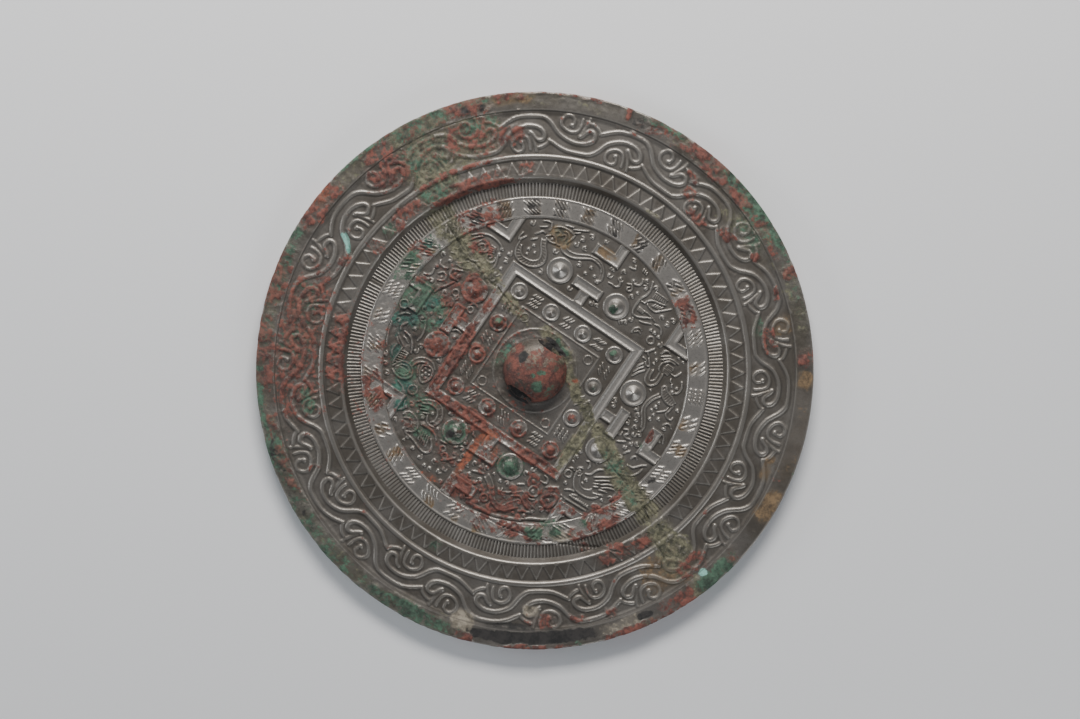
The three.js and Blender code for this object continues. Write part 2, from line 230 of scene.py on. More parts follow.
# %% Map of the stains in the middle
FIELD_STAINS = {  # kind: middle x, middle y, half length, half width, turned by, strength
    "earth": [
        (-44, 22, 17, 5.5, -17, 0.9), (-20, 15, 9, 2.4, -12, 0.75), (2, 12.5, 9, 3, -12, 0.85),
        (8, 8, 5, 3, -45, 0.75), (15, 3, 8, 2.2, -40, 0.9), (24, -1.5, 6, 2.6, -25, 1),
        (37, -8, 12, 3.4, -27, 1.1), (53, -17, 12, 4.5, -20, 1.1), (-19, 46.5, 5, 3.5, 0, 0.4),
        (27.3, -14, 13, 2.6, 90, 0.95), (6, 6, 4, 3, -30, 0.5), (9, 7.5, 4.4, 2.4, -45, 0.75),
    ],
    "green": [
        (43, -12, 9, 3, -25, 0.55), (53, -18, 6, 2.5, -15, 0.6), (-47, -4, 9, 10, 90, 0.85),
        (-22, -42.5, 5, 3.4, 0, 0.75), (-27, -38, 4.5, 1.6, 30, 0.75), (-28, -33, 7, 4, 0, 0.65),
        (-38, -27, 9, 6, -30, 0.65), (12.1, -34.4, 5.2, 4.8, 0, 1), (-11.6, -35.6, 4.8, 4.8, 0, 1),
        (11.4, 35.6, 1.7, 1.7, 0, 1.2), (20.6, 21.2, 1.4, 1.4, 0, 1.1), (-21.2, 6.9, 1.4, 1.4, 0, 1.1),
        (20.8, 7.5, 1.1, 1.1, 0, 1.1), (49, -1.4, 3, 1.6, 0, 0.6), (36, -44, 5, 2.4, 20, 0.7),
        (45, -37, 3, 2, 20, 0.7), (33, -50, 4, 2.6, 20, 0.9), (38, -46.5, 3.5, 2.2, 30, 0.8),
        (4, -4.4, 2.5, 2.2, -20, 1.35), (2.8, 0.6, 1.6, 1, 30, 1.2), (0.9, -1.6, 1.1, 0.8, 30, 1.2),
        (3, 13, 5, 1.6, -10, 0.8), (8.6, -3, 1.4, 4, 0, 0.6), (-6.6, 1.8, 1.6, 1.7, 0, 0.8),
        (-13.4, -2.5, 2.4, 6, 0, 0.75),
    ],
    "red": [
        (-27.3, -12, 18, 2.8, 90, 1.5), (-27.3, 11, 7, 2.2, 90, 0.7), (-12, -27.6, 17, 2.6, 0, 1.3),
        (17, -27.2, 13, 2.6, 0, 1.1), (-21, -21, 4, 4, 0, 0.8), (-7, -21, 3.6, 3.6, 0, 0.85),
        (7, -21, 3.8, 3.8, 0, 0.8), (21, -21, 4, 4, 0, 0.9), (-21, 7, 3.8, 3.8, 0, 1),
        (-21, -7, 3.8, 3.8, 0, 1.1), (21, -7, 2.6, 2.6, 0, 0.45), (-35.3, -12.2, 5.2, 5.2, 0, 1.15),
        (-35.5, 12, 6.5, 6, 0, 1.1), (-8.5, -32, 4, 2, 45, 0.8), (-39, 3, 9, 10, 90, 0.8),
        (-45, 11, 6, 5, 0, 0.7), (-42, 27.5, 6, 3.5, 0, 0.75), (-52, 3, 5, 3, 0, 0.7),
        (-46, 33, 6, 3, 50, 0.7), (14, -48, 15, 5.5, 8, 0.9), (30, -36.5, 5.5, 5, 0, 0.9),
        (22, -41, 8, 3, 0, 0.9), (22, -34, 3, 3.5, 0, 0.7), (5, -53, 11, 2, 5, 0.9),
        (0.8, -50.5, 6, 5, 0, 1.15), (3, -35.5, 5.5, 4.5, 0, 0.8), (4, -38, 4, 4, 0, 0.6),
        (-10, -44, 7, 5, -30, 0.65), (-20, -39.5, 5, 1.5, 0, 0.75), (-28, -42, 4, 3, 0, 0.6),
        (38, -36, 5, 2, 20, 0.7), (50.8, -22, 3.4, 1.3, 70, 0.95), (52, -30, 4, 3.5, 0, 0.9),
        (46.5, -30, 1.4, 1, 60, 0.9), (48.6, 3.4, 2.6, 1.4, 90, 0.95), (-24, -18, 42, 36, 20, 0.36),
        (28, -52.5, 10, 3, 14, 0.85), (46, -42, 4, 3.4, 30, 0.85), (62, -37, 7, 1.6, 12, 0.85),
    ],
    "rust": [
        (-2.8, -41, 13, 1.7, 90, 0.95), (-1.2, -30, 4, 3, 90, 0.6), (4, -34, 3.5, 1.5, 90, 0.5),
        (-10, -54, 4, 1.2, 0, 0.6), (14, 5.2, 1.3, 1.3, 0, 0.6),
    ],
    "dark": [
        (-47, -12, 17, 7, 100, 0.35), (-12.4, -36.6, 2.2, 2.2, 0, 0.9), (57.5, -9, 2.6, 1.9, 0, 0.6),
        # The first two ovals paint the shadow at the mouths of the knob's cord hole; those at (-3, -7) and
        # (-9, -5.5) are dark mottle that also paints shade on the knob's lower left.
        (0.3, -11.6, 5.4, 0.7, 2, 1.5), (1.5, 11.9, 5.6, 1, -4, 0.9), (-3, -7, 7, 4, 20, 0.42),
        (-6.6, 1.8, 1.9, 2, 0, 1.3), (-9, -5.5, 2.2, 5, 20, 0.5),
    ],
    "teal": [
        (-49.5, -9, 5, 2.8, -30, 0.9), (-52.5, -12.5, 2.4, 3, 0, 0.85), (-50, -16, 1.4, 3, 0, 0.7),
        (-47, -23, 2.4, 3.2, 20, 0.9), (-40.5, -24.8, 2, 1.6, 0, 0.7), (-36.5, -31.8, 4.4, 2.4, 20, 0.9),
        (-34, -37.5, 3.6, 1.9, 75, 0.85), (-59, 16.5, 2.6, 1.6, 80, 0.85), (-45, -1, 3.5, 2.2, 60, 0.8),
        (-39, -4.5, 2.2, 1.2, 60, 0.7), (-55.5, 7, 2.5, 1, 90, 0.7), (-12.6, 1.5, 1.6, 3, 10, 0.35),
    ],
    "turquoise": [
        (-83.5, 0, 4.4, 1.3, 138, 1.7),
    ],
    "pale": [
        (27.3, -14, 11, 1.6, 90, 0.6), (41, -45.5, 6, 2.6, 30, 0.7),
    ],
    "ochre": [
        (2, 2, 9, 8, 0, 0.5), (13, 4.5, 2, 2, 0, 0.9), (-19.5, 46, 5, 4, 0, 0.8),
        (-1, 50.3, 5, 1.6, 0, 0.7),
    ],
}
CLEAN_SPOTS = [(11.5, -7, 4, 2, 60, 0.7)]  # worn free of all stains
KINDS = ("red", "green", "earth", "ochre", "dark", "pale", "teal", "turquoise", "rust")
print(sum(len(ovals) for ovals in FIELD_STAINS.values()), "stains in the middle")

# %% Turn the map into coverage
SOFT_EDGE = (-0.35, 0.45)  # from where to where across its outline a stain grows, as shares of its size
WANDER = 1.6  # mm that the outlines stray


def ring_patch(angle, share, start, end, inner, outer):
    """1 well inside a patch of a ring zone and 0 outside it."""
    across = (share - (inner + outer) / 2) / ((outer - inner) / 2)
    offset = (angle - (start + end) / 2 + 180) % 360 - 180
    along = offset / ((end - start) / 2)
    return smoothstep(1 - (across**4 + along**4) ** 0.25, *SOFT_EDGE)


def oval(x, y, middle_x, middle_y, length, width, turn):
    """1 well inside an oval and 0 outside it."""
    c, s = math.cos(math.radians(turn)), math.sin(math.radians(turn))
    along = ((x - middle_x) * c + (y - middle_y) * s) / length
    across = ((y - middle_y) * c - (x - middle_x) * s) / width
    return smoothstep(1 - np.hypot(along, across), *SOFT_EDGE)


def stained(x, y):
    """How much of each kind of stain lies at each place, from 0 to about 1."""
    stray_x = x + WANDER * crust(x, y, 0.0, 7.0, 5)
    stray_y = y + WANDER * crust(x, y, 0.0, 7.0, 9)
    share = np.hypot(stray_x, stray_y) / RADIUS
    angle = np.degrees(np.arctan2(stray_y, stray_x)) - PICTURE_TURN
    cover = {kind: np.zeros(len(x)) for kind in KINDS}

    def add(kind, amount):
        cover[kind] = np.maximum(cover[kind], amount)

    for kind, patches in RING_STAINS.items():
        for *patch, strength in patches:
            add(kind, strength * ring_patch(angle, share, *patch))
    for kind, ovals in FIELD_STAINS.items():
        for *place, strength in ovals:
            add(kind, strength * oval(stray_x, stray_y, *place))
    for *place, strength in CLEAN_SPOTS:
        left = 1 - strength * oval(stray_x, stray_y, *place)
        for kind in KINDS:
            cover[kind] *= left
    # Small red specks on the rim, green scabs on its edge, brown round the signs, painted shade on signs
    # toward the light.
    rim = smoothstep(share, 0.76, 0.80)
    specks = smoothstep(crust(x, y, 0.0, 5.0, 131), 0.30, 0.62)
    reddened = 0.35 + 0.65 * smoothstep(np.cos(np.radians(angle - 125)), -0.4, 0.6)
    add("red", 0.72 * rim * specks * reddened)
    scabs = smoothstep(crust(x, y, 0.0, 7.0, 151), 0.30, 0.62)
    add("green", 0.70 * smoothstep(share, 0.96, 0.99) * scabs)
    writing = smoothstep(share, WRITING_INNER / RADIUS, 0.56) * smoothstep(share, 0.625, 0.61)
    from_sign = np.cos(np.radians((angle + PICTURE_TURN - SIGN_FIRST) * SIGNS))
    at_sign = writing * smoothstep(from_sign, -0.2, 0.5)
    add("ochre", at_sign * (0.15 + 0.5 * smoothstep(bumps(x, y, 0.0, 6.5, 161), -0.1, 0.45)))
    # Painted shade: on the side toward the light the signs are darkened.
    upper = smoothstep(np.cos(np.radians(angle - 70)), 0.5, 0.9)
    add("dark", 0.55 * at_sign * upper)
    return cover


# %% [markdown]
# ## A ground to draw on
#
# The founder pressed and cut the pattern into a clay mould, line by line. The same can be done on a fine
# grid of vertices: Ground keeps the places of a piece's top vertices, sorted into small cells, so that a
# stroke finds the few vertices near it quickly, and it raises them to a rounded ridge.

# %% Ground
class Ground:
    """The top vertices of one piece, in mm, and the relief drawn on them so far."""

    CELL = 2.0
    ROWS = 1000

    def __init__(self, x, y):
        self.x = x
        self.y = y
        self.relief = np.zeros(len(x))
        self.polish = np.zeros(len(x))
        keys = self.key(x, y)
        self.order = np.argsort(keys, kind="stable")
        self.keys = keys[self.order]

    def key(self, x, y):
        return (np.floor(x / self.CELL) * self.ROWS + np.floor(y / self.CELL)).astype(np.int64)

    def near(self, points, reach):
        """The vertices in the cells round a chain of points."""
        low_x, low_y = points.min(0) - reach
        high_x, high_y = points.max(0) + reach
        found = []
        for column in range(math.floor(low_x / self.CELL), math.floor(high_x / self.CELL) + 1):
            base = column * self.ROWS
            first = np.searchsorted(self.keys, base + math.floor(low_y / self.CELL))
            last = np.searchsorted(self.keys, base + math.floor(high_y / self.CELL), "right")
            found.append(self.order[first:last])
        return np.concatenate(found)

    def lift(self, some, height):
        """Raises some vertices to a height, where they aren't higher already."""
        self.relief[some] = np.maximum(self.relief[some], height)


def gap_to_chain(x, y, chain):
    """How far each place is from a chain of points, and how far along the chain that is, 0 to 1."""
    start = chain[:-1]
    step = chain[1:] - start
    length = np.maximum((step**2).sum(1), 1e-9)
    ahead_x = x[:, None] - start[:, 0]
    ahead_y = y[:, None] - start[:, 1]
    share = np.clip((ahead_x * step[:, 0] + ahead_y * step[:, 1]) / length, 0, 1)
    gaps = np.hypot(ahead_x - share * step[:, 0], ahead_y - share * step[:, 1])
    nearest = gaps.argmin(1)
    row = np.arange(len(x))
    return gaps[row, nearest], (nearest + share[row, nearest]) / len(step)


def smooth_chain(points, per_span=5):
    """A smooth line through a few points."""
    points = np.asarray(points, float)
    if len(points) < 3:
        return points
    padded = np.vstack([2 * points[0] - points[1], points, 2 * points[-1] - points[-2]])
    t = np.linspace(0, 1, per_span, endpoint=False)[:, None]
    spans = []
    for a, b, c, d in zip(padded, padded[1:], padded[2:], padded[3:]):
        cubic = 3 * b - a - 3 * c + d
        square = 2 * a - 5 * b + 4 * c - d
        spans.append(0.5 * (2 * b + (c - a) * t + square * t**2 + cubic * t**3))
    return np.vstack(spans + [points[-1:]])


def draw(ground, points, width, height, taper=0.0, fullness=0.7):
    """Raises a rounded thread along a chain of points. A taper of 1 brings its ends to nothing."""
    chain = np.asarray(points, float)
    some = ground.near(chain, width)
    gap, along = gap_to_chain(ground.x[some], ground.y[some], chain)
    ends = np.clip(np.minimum(along, 1 - along) * 4, 0, 1)
    half = width / 2 * (1 - taper * (1 - ends))
    section = np.clip(1 - (gap / np.maximum(half, 0.05)) ** 2, 0, 1) ** fullness
    ground.lift(some, height * section * (1 - 0.3 * taper * (1 - ends)))


# %% [markdown]
# ## Round pieces from flat grids
#
# Each ring of the back is a strip of fine grid wrapped round the middle. A grid from create_grid is
# quick to make even with a hundred thousand faces, and wrapping it is one line of trigonometry: a column
# is an angle and a row is a point of the ring's profile. Merging doubles closes the seam and, where a
# profile starts on the axis, the pole. The ring is then extruded down and closed below, so it is a solid.

# %% Wrapped rings
MERGE_GAP = 1e-4


def wrap(profile, columns):
    """A closed grid round Z. Row by row it follows the profile's [radius, height] points, in mm."""
    rows = len(profile)
    grid = bmesh.new()
    bmesh.ops.create_grid(grid, x_segments=columns, y_segments=rows - 1, size=1)
    mesh = bpy.data.meshes.new("grid")
    grid.to_mesh(mesh)
    grid.free()
    radius, height = (np.repeat(side, columns + 1) for side in np.array(profile, float).T)
    turn = np.tile(np.linspace(0, 2 * math.pi, columns + 1), rows)
    places = np.stack([radius * np.cos(turn), radius * np.sin(turn), height], 1)
    mesh.vertices.foreach_set("co", places.ravel())
    shape = bmesh.new()
    shape.from_mesh(mesh)
    bpy.data.meshes.remove(mesh)
    bmesh.ops.remove_doubles(shape, verts=shape.verts, dist=MERGE_GAP)
    return shape


def mesh_from(shape, name):
    """Turns a bmesh into a mesh with its faces pointing outwards, and frees it."""
    bmesh.ops.recalc_face_normals(shape, faces=shape.faces)
    mesh = bpy.data.meshes.new(name)
    shape.to_mesh(mesh)
    shape.free()
    return mesh


def extrude_border(shape):
    """Extrudes the open border down to the buried height and returns the new border edges."""
    edges = [edge for edge in shape.edges if edge.is_boundary]
    for edge in edges:
        edge.smooth = False
    made = bmesh.ops.extrude_edge_only(shape, edges=edges)["geom"]
    for part in made:
        if isinstance(part, bmesh.types.BMVert):
            part.co.z = BURIED
    return [part for part in made if isinstance(part, bmesh.types.BMEdge)]


def spaced(start, end, step):
    """Evenly spaced values from start to end, about one step apart."""
    return np.linspace(start, end, max(2, round(abs(end - start) / step) + 1))


def closed_ring(name, inner, outer, step, columns):
    """A flat ring of fine grid, closed below at the buried height."""
    shape = wrap([(r, FIELD_GROUND) for r in spaced(inner, outer, step)], columns)
    bmesh.ops.bridge_loops(shape, edges=extrude_border(shape))
    return mesh_from(shape, name)


# %% [markdown]
# ## Corrosion changes the shape too
#
# Crust has a thickness. Red oxide stands up in grains, green in soft scabs, and dried earth fills the
# hollows and softens what it covers. So the same map that later colours the bronze first lifts it, and
# what is drawn on a piece is lowered a little under earth. The map and the depth of the relief are kept
# on the vertices as attributes, where the material finds them.

# %% Weather a surface and finish a piece
FORM_FULL = 0.12  # mm above or below the smoothed surface that counts as a full crest or hollow
SMOOTHING_STEPS = 9
RED_HEIGHT = 0.42  # thickness of full red grains, in mm
GREEN_HEIGHT = 0.26
EARTH_FLOOR = 0.06
EARTH_HEIGHT = 0.32  # mm between the lumps and the floor of full earth
FLAKE_HEIGHT = 0.16
CRUSTS = ("red", "green", "earth", "teal", "pale")  # the stains that have a thickness
patina = bpy.data.materials.new("patinated bronze")
pieces = []


def red_grains(x, y):
    return crust(x, y, 0.0, 2.1, 3, 3)


def green_scabs(x, y):
    return crust(x, y, 0.0, 3.4, 13, 4)


def crust_height(x, y, z, cover):
    """How far the corrosion stands up from the metal, in mm."""
    grains = red_grains(x, y)
    scabs = green_scabs(x, y)
    crumbs = crust(x, y, z, 1.5, 33, 3)
    height = 0.03 * crust(x, y, z, 9.0, 23, 3) + 0.012 * crumbs
    height = height + cover["red"] * RED_HEIGHT * smoothstep(grains, -0.25, 0.35)
    height = height + (cover["green"] + cover["teal"]) * GREEN_HEIGHT * smoothstep(scabs, -0.3, 0.4)
    height = height + cover["earth"] * (EARTH_FLOOR + EARTH_HEIGHT * np.clip(scabs + 1.2 * crumbs, -0.6, 1))
    return height + (cover["pale"] + cover["teal"]) * FLAKE_HEIGHT * np.clip(crumbs, -0.5, 1)


def read(mesh, key):
    """The places or the normals of a mesh's vertices, one row each."""
    values = np.empty(3 * len(mesh.vertices))
    mesh.vertices.foreach_get(key, values)
    return values.reshape(-1, 3)


def standing_out(mesh, places, top):
    """How far each vertex stands out from the smoothed surface round it, in mm."""
    ends = np.empty(2 * len(mesh.edges), np.int64)
    mesh.edges.foreach_get("vertices", ends)
    a, b = ends.reshape(-1, 2).T
    same = top[a] == top[b]
    a, b = a[same], b[same]
    number = len(places)
    count = np.maximum(np.bincount(a, minlength=number) + np.bincount(b, minlength=number), 1)
    smooth = places.copy()
    for _ in range(SMOOTHING_STEPS):
        for axis in range(3):
            total = np.bincount(a, smooth[b, axis], number) + np.bincount(b, smooth[a, axis], number)
            smooth[:, axis] = 0.3 * smooth[:, axis] + 0.7 * total / count
    return ((places - smooth) * read(mesh, "normal")).sum(1)


def finish(mesh, places, top=None, **extra):
    """Puts the attributes on a mesh, brings it to metres and makes it a piece that rides on the mirror."""
    mesh.vertices.foreach_set("co", (places * MM).ravel())
    mesh.polygons.foreach_set("use_smooth", np.ones(len(mesh.polygons), bool))
    mesh.update()
    if top is None:
        top = np.ones(len(places), bool)
    form = standing_out(mesh, places, top) / FORM_FULL
    values = stained(places[:, 0], places[:, 1])
    values["crest"] = np.clip(form, 0, 1)
    values["hollow"] = np.clip(-form, 0, 1)
    values["polish"] = np.zeros(len(places))
    for key, value in extra.items():
        values[key] = np.maximum(values[key], value)
    values["crusted"] = np.clip(sum(values[kind] for kind in CRUSTS), 0, 1)
    values["red"] = values["red"] * np.clip(0.86 + 0.75 * red_grains(places[:, 0], places[:, 1]), 0, 1.6)
    values["green"] = values["green"] * np.clip(0.88 + 0.65 * green_scabs(places[:, 0], places[:, 1]), 0, 1.6)
    for key, value in values.items():
        layer = mesh.attributes.new(key, "FLOAT", "POINT")
        layer.data.foreach_set("value", np.asarray(value, np.float32))
    piece = bpy.data.objects.new(mesh.name, mesh)
    bpy.context.collection.objects.link(piece)
    piece.data.materials.append(patina)
    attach(piece, "root")
    pieces.append(piece)
    print(piece.name, len(mesh.polygons), "faces")


# %% Cracks, and the carving of a flat piece
CRACKS = [
    [(-34.5, 18.4), (-31, 17.6), (-28.5, 17.9), (-25, 16.6), (-20, 15.2), (-14, 14.6)],
    [(37, -10.6), (40.5, -12.6), (44, -13.9), (48, -14.9), (53, -16.6), (58, -18.2)],
    [(58, -18.2), (63, -20.5), (68, -24.0)],
    [(70.5, -27.5), (74.8, -28.8), (79.5, -31.8)],
    [(-58, 27), (-52, 24.4), (-47, 22.4), (-41, 20.6), (-34.5, 18.4)],
    [(3.8, -54.8), (12, -55.2), (21.3, -54.4), (31, -52.2), (40.3, -48.7), (49, -44.6), (57.4, -39.8),
     (64, -37.6), (70.2, -36.5)],
]
CRACK_DEPTH = 0.34
SUNK_BY_EARTH = 0.35  # share of the relief that full earth hides


def crack_depth(x, y):
    """How deep the cracks have opened at each place, in mm."""
    wander = 0.35 * bumps(x, y, 0.0, 1.6, 171)
    depth = np.zeros(len(x))
    for points in CRACKS:
        gap, along = gap_to_chain(x, y, np.array(points, float))
        open_here = np.clip(np.minimum(along, 1 - along) * 5, 0.25, 1)
        depth = np.maximum(depth, CRACK_DEPTH * open_here * smoothstep(np.abs(gap + wander), 0.42, 0.12))
    return depth


def carve(mesh, base, draw_relief, polish=0.0):
    """Raises the top of a closed flat piece to its base height, its relief and its crust."""
    places = read(mesh, "co")
    top = places[:, 2] > (FIELD_GROUND + BURIED) / 2
    x, y = places[top, 0], places[top, 1]
    ground = Ground(x, y)
    draw_relief(ground)
    level = base(x, y)
    cover = stained(x, y)
    kept = 1 - SUNK_BY_EARTH * cover["earth"]
    places[top, 2] = level + ground.relief * kept + crust_height(x, y, level, cover) - crack_depth(x, y)
    polished = np.zeros(len(places))
    polished[top] = np.maximum(ground.polish, polish)
    finish(mesh, places, top, polish=polished)


# %% [markdown]
# ## The plate and its rim
#
# The plate carries everything: its underside is the mirror face, its edge is the thick rim, and its
# middle is a shallow dish in which the carved zones lie. One profile, walked from the pole of the
# underside round the edge and back to the pole of the dish, makes it a closed solid.

# %% The plate
PLATE_COLUMNS = 1200
EDGE_ROUND = 0.5
DISH_FLOOR = BURIED + 0.4
CHIP_DEPTH = 0.35


def plate_profile():
    """From the pole of the underside round the edge to the pole of the dish."""
    inner = OUTLINE - EDGE_ROUND
    quarter = [(math.sin(a), math.cos(a)) for a in np.radians((30, 60, 90))]
    under = [(r, 0.0) for r in spaced(0, inner, 13)]
    corner = [(OUTLINE - EDGE_ROUND * (1 - s), EDGE_ROUND * (1 - c)) for s, c in quarter]
    wall = [(OUTLINE, z) for z in spaced(EDGE_ROUND, BORDER_TOP - EDGE_ROUND, 0.5)[1:]]
    shoulder = [(OUTLINE - EDGE_ROUND * (1 - c), BORDER_TOP - EDGE_ROUND * (1 - s)) for s, c in quarter]
    border = [(r, BORDER_TOP) for r in spaced(inner, BORDER_INNER, 0.42)[1:]]
    step = [(BORDER_INNER - 0.3, BORDER_TOP - 0.06), (BORDER_INNER - 0.7, BORDER_TOP - 0.26),
            (BORDER_INNER - 1.0, SCROLL_GROUND - 0.3), (BORDER_INNER - 1.0, DISH_FLOOR), (0.0, DISH_FLOOR)]
    return under + corner + wall + shoulder + border + step


def make_plate():
    mesh = mesh_from(wrap(plate_profile(), PLATE_COLUMNS), "plate")
    places = read(mesh, "co")
    x, y, z = places.T
    radius = np.hypot(x, y)
    cover = stained(x, y)
    on_top = smoothstep(z, BORDER_TOP - 0.7, BORDER_TOP - 0.2) * (radius > BORDER_INNER - 0.4)
    on_wall = smoothstep(radius, OUTLINE - 0.6, OUTLINE) * (z > 0.2)
    height = crust_height(x, y, z, cover)
    chips = smoothstep(crust(x, y, z, 6.0, 41), 0.42, 0.75)
    places[:, 2] += on_top * (height - CHIP_DEPTH * chips * smoothstep(radius, OUTLINE - 1.4, OUTLINE - 0.2))
    inward = on_wall * np.clip(0.12 - height + 0.5 * chips, 0, 0.8)
    places[:, :2] *= (1 - inward / np.maximum(radius, 1))[:, None]
    finish(mesh, places)


make_plate()

# %% [markdown]
# ## The cloud scroll
#
# The rim carries a running scroll: two parallel waves with a curled cloud in every hollow. The inner
# half of the pattern is the outer half flipped over the middle line and moved on by half a repeat. So
# one wave and one cloud, drawn once on a ground that is folded fifteen times round and over on itself,
# give the whole ring. A slow wander in the fold makes each repeat a little different, as by hand.

# %% Scroll lines
SCROLL_REPEATS = 15
SCROLL_STEP = 360 / SCROLL_REPEATS
SCROLL_WIDTH = 1.9
SCROLL_HEIGHT = 0.52

# Each point is degrees round from the start of the repeat and mm out from the middle line.
WAVE = [(17.1, -0.2), (16.6, 0.4), (16.1, 1.3), (15.6, 2.2), (14.8, 2.65), (13.9, 2.25), (13.5, 1.1),
        (13.75, -0.3), (14.5, -1.45), (15.7, -2.3), (17.1, -2.6), (18.5, -2.5), (20.1, -1.75), (21.8, -0.3),
        (22.85, 1.4), (23.9, 3.5), (25.0, 5.0), (26.4, 6.0), (29.2, 6.2), (31.9, 5.8), (33.8, 4.7),
        (35.2, 3.5), (36.4, 2.5)]
CLOUD_FOLD = [(12.4, 2.6), (12.9, 3.7), (14.1, 4.9), (15.1, 5.4)]
CLOUD_FINGER = [(15.5, 6.9), (15.6, 5.6), (16.0, 3.9), (16.6, 1.9), (17.0, 0.3)]
CLOUD_CURL = [(17.1, 6.3), (17.15, 4.8), (17.4, 3.1), (18.05, 1.65), (19.3, 1.1), (20.5, 1.6), (21.5, 2.9),
              (21.8, 4.5), (21.4, 6.1), (20.5, 7.0), (19.55, 6.8), (18.95, 5.9), (18.95, 4.8), (19.2, 3.7)]
SCROLL_STROKES = [(WAVE, 1.0), (CLOUD_FOLD, 0.8), (CLOUD_FINGER, 0.74), (CLOUD_CURL, 0.76)]
SCROLL_BULBS = [(17.0, 0.1), (19.3, 3.6)]
print(SCROLL_REPEATS, "repeats of", len(SCROLL_STROKES), "strokes, twice")


# %% Draw the scroll
def unrolled(points, shift=0.0):
    """Scroll points as mm along and across the straightened band."""
    return [(math.radians(degrees + shift) * SCROLL_MIDDLE, across) for degrees, across in points]


def draw_scroll(ground):
    wander = [0.22 * bumps(ground.x, ground.y, 0.0, 7.0, seed) for seed in (61, 62)]
    angle = np.degrees(np.arctan2(ground.y, ground.x))
    across = np.hypot(ground.x, ground.y) - SCROLL_MIDDLE + wander[0]
    for flipped, side in ((0.0, 1), (SCROLL_STEP / 2, -1)):
        turn = (angle + flipped) % SCROLL_STEP
        folded = Ground(np.radians(turn) * SCROLL_MIDDLE + wander[1], side * across)
        for points, fullness in SCROLL_STROKES:
            for shift in (0.0, -SCROLL_STEP):
                chain = smooth_chain(unrolled(points, shift))
                draw(folded, chain, SCROLL_WIDTH * fullness, SCROLL_HEIGHT * fullness, 0.12)
        for bulb in SCROLL_BULBS:
            for shift in (0.0, -SCROLL_STEP):
                chain = unrolled([bulb, (bulb[0] + 0.1, bulb[1])], shift)
                draw(folded, chain, 0.95 * SCROLL_WIDTH, 0.9 * SCROLL_HEIGHT)
        ground.relief = np.maximum(ground.relief, folded.relief)


def scroll_base(x, y):
    """Level, but swept up a little to meet the border."""
    return SCROLL_GROUND + 0.34 * smoothstep(np.hypot(x, y), BORDER_INNER - 2.2, BORDER_INNER - 0.6)


scroll_band = closed_ring("scroll_band", ROUND_RING, BORDER_INNER - 0.35, 0.34, 1560)
carve(scroll_band, scroll_base, draw_scroll)

# %% [markdown]
# ## Sawteeth and comb teeth
#
# Inside the scroll come a rounded ring, a ring of flat triangles and, down a slope, a ring of fine comb
# teeth. The founder stepped them off with a compass. Here their shape follows from the angle alone: each
# place asks how far it is from the middle of the nearest tooth.

# %% Sawtooth ring
SAW_TEETH = 89
SAW_PITCH = 360 / SAW_TEETH
SAW_FIRST = 98.0  # degrees round to the tip of one tooth


def from_nearest(x, y, first, pitch):
    """How far each place is from the middle line of the nearest tooth, in mm round the ring, and which."""
    turn = (np.degrees(np.arctan2(y, x)) - first) / pitch
    tooth = np.round(turn)
    return np.radians((turn - tooth) * pitch) * np.hypot(x, y), tooth


SAW_PROFILE = [(WALL_FOOT - 1.2, COMB_GROUND - 1.0), (WALL_FOOT - 0.3, COMB_GROUND),
               (WALL_TOP, SAW_LEDGE - 0.08), (WALL_TOP + 0.4, SAW_LEDGE), (SAW_ROOT, SAW_LEDGE),
               (SAW_ROOT + 0.25, SAW_GROUND)]


def saw_base(x, y):
    """Up the wall from the comb ring to a ledge, and down past the rounded ring."""
    radius = np.hypot(x, y)
    level = np.interp(radius, *zip(*SAW_PROFILE))
    beyond = np.clip(radius - ROUND_RING - ROUND_RING_HALF, 0, None)
    return np.where(beyond > 0, SCROLL_GROUND - 0.1 - beyond, level)


def draw_saw(ground):
    radius = np.hypot(ground.x, ground.y)
    aside, _ = from_nearest(ground.x, ground.y, SAW_FIRST, SAW_PITCH)
    height = (SAW_TIP - radius) / (SAW_TIP - SAW_ROOT)
    half = height * math.radians(SAW_PITCH) * SAW_ROOT / 2
    inside = (half - np.abs(aside)) * 0.93
    tooth = smoothstep(inside, -0.18, 0.30) * (radius > SAW_ROOT)
    ground.relief = (SAW_TOOTH_TOP - SAW_GROUND) * tooth
    ring = np.clip(1 - ((radius - ROUND_RING) / ROUND_RING_HALF) ** 2, 0, 1) ** 0.6
    ground.relief = np.maximum(ground.relief, (ROUND_RING_TOP - SAW_GROUND) * ring)


saw_band = closed_ring("sawtooth_band", WALL_FOOT - 1.2, ROUND_RING + ROUND_RING_HALF + 0.5, 0.33,
                       SAW_TEETH * 16)
carve(saw_band, saw_base, draw_saw)

# %% Comb ring
COMB_TEETH = 339
COMB_PITCH = 360 / COMB_TEETH
COMB_FIRST = 0.2  # degrees round to the middle of one tooth
COMB_HEIGHT = 0.42


def flat(height):
    """A base that is level."""
    return lambda x, y: np.full(len(x), height)


def draw_comb(ground):
    radius = np.hypot(ground.x, ground.y)
    aside, tooth = from_nearest(ground.x, ground.y, COMB_FIRST, COMB_PITCH)
    half = math.radians(COMB_PITCH) * radius * 0.36
    ridge = np.clip(1 - (aside / half) ** 2, 0, 1) ** 0.7
    wear = 0.8 + 0.2 * bumps(tooth, 0 * tooth, 0.0, 2.3, 71)
    gone = smoothstep(bumps(tooth, 0 * tooth, 5.0, 1.6, 73), 0.86, 0.95)
    ground.relief = COMB_HEIGHT * ridge * wear * (1 - gone)


comb_band = closed_ring("comb_band", COMB_INNER - 0.9, WALL_FOOT + 0.5, 0.5, COMB_TEETH * 6)
carve(comb_band, flat(COMB_GROUND), draw_comb)

# %% [markdown]
# ## The ring of writing
#
# A wish runs round the real mirror. Words belong to their object, so this one says nothing: each sign's
# place holds a few rows of short shallow strokes in the size and rhythm of the old script. A seeded
# random draw sets their lengths and leans, so they come out the same each time.

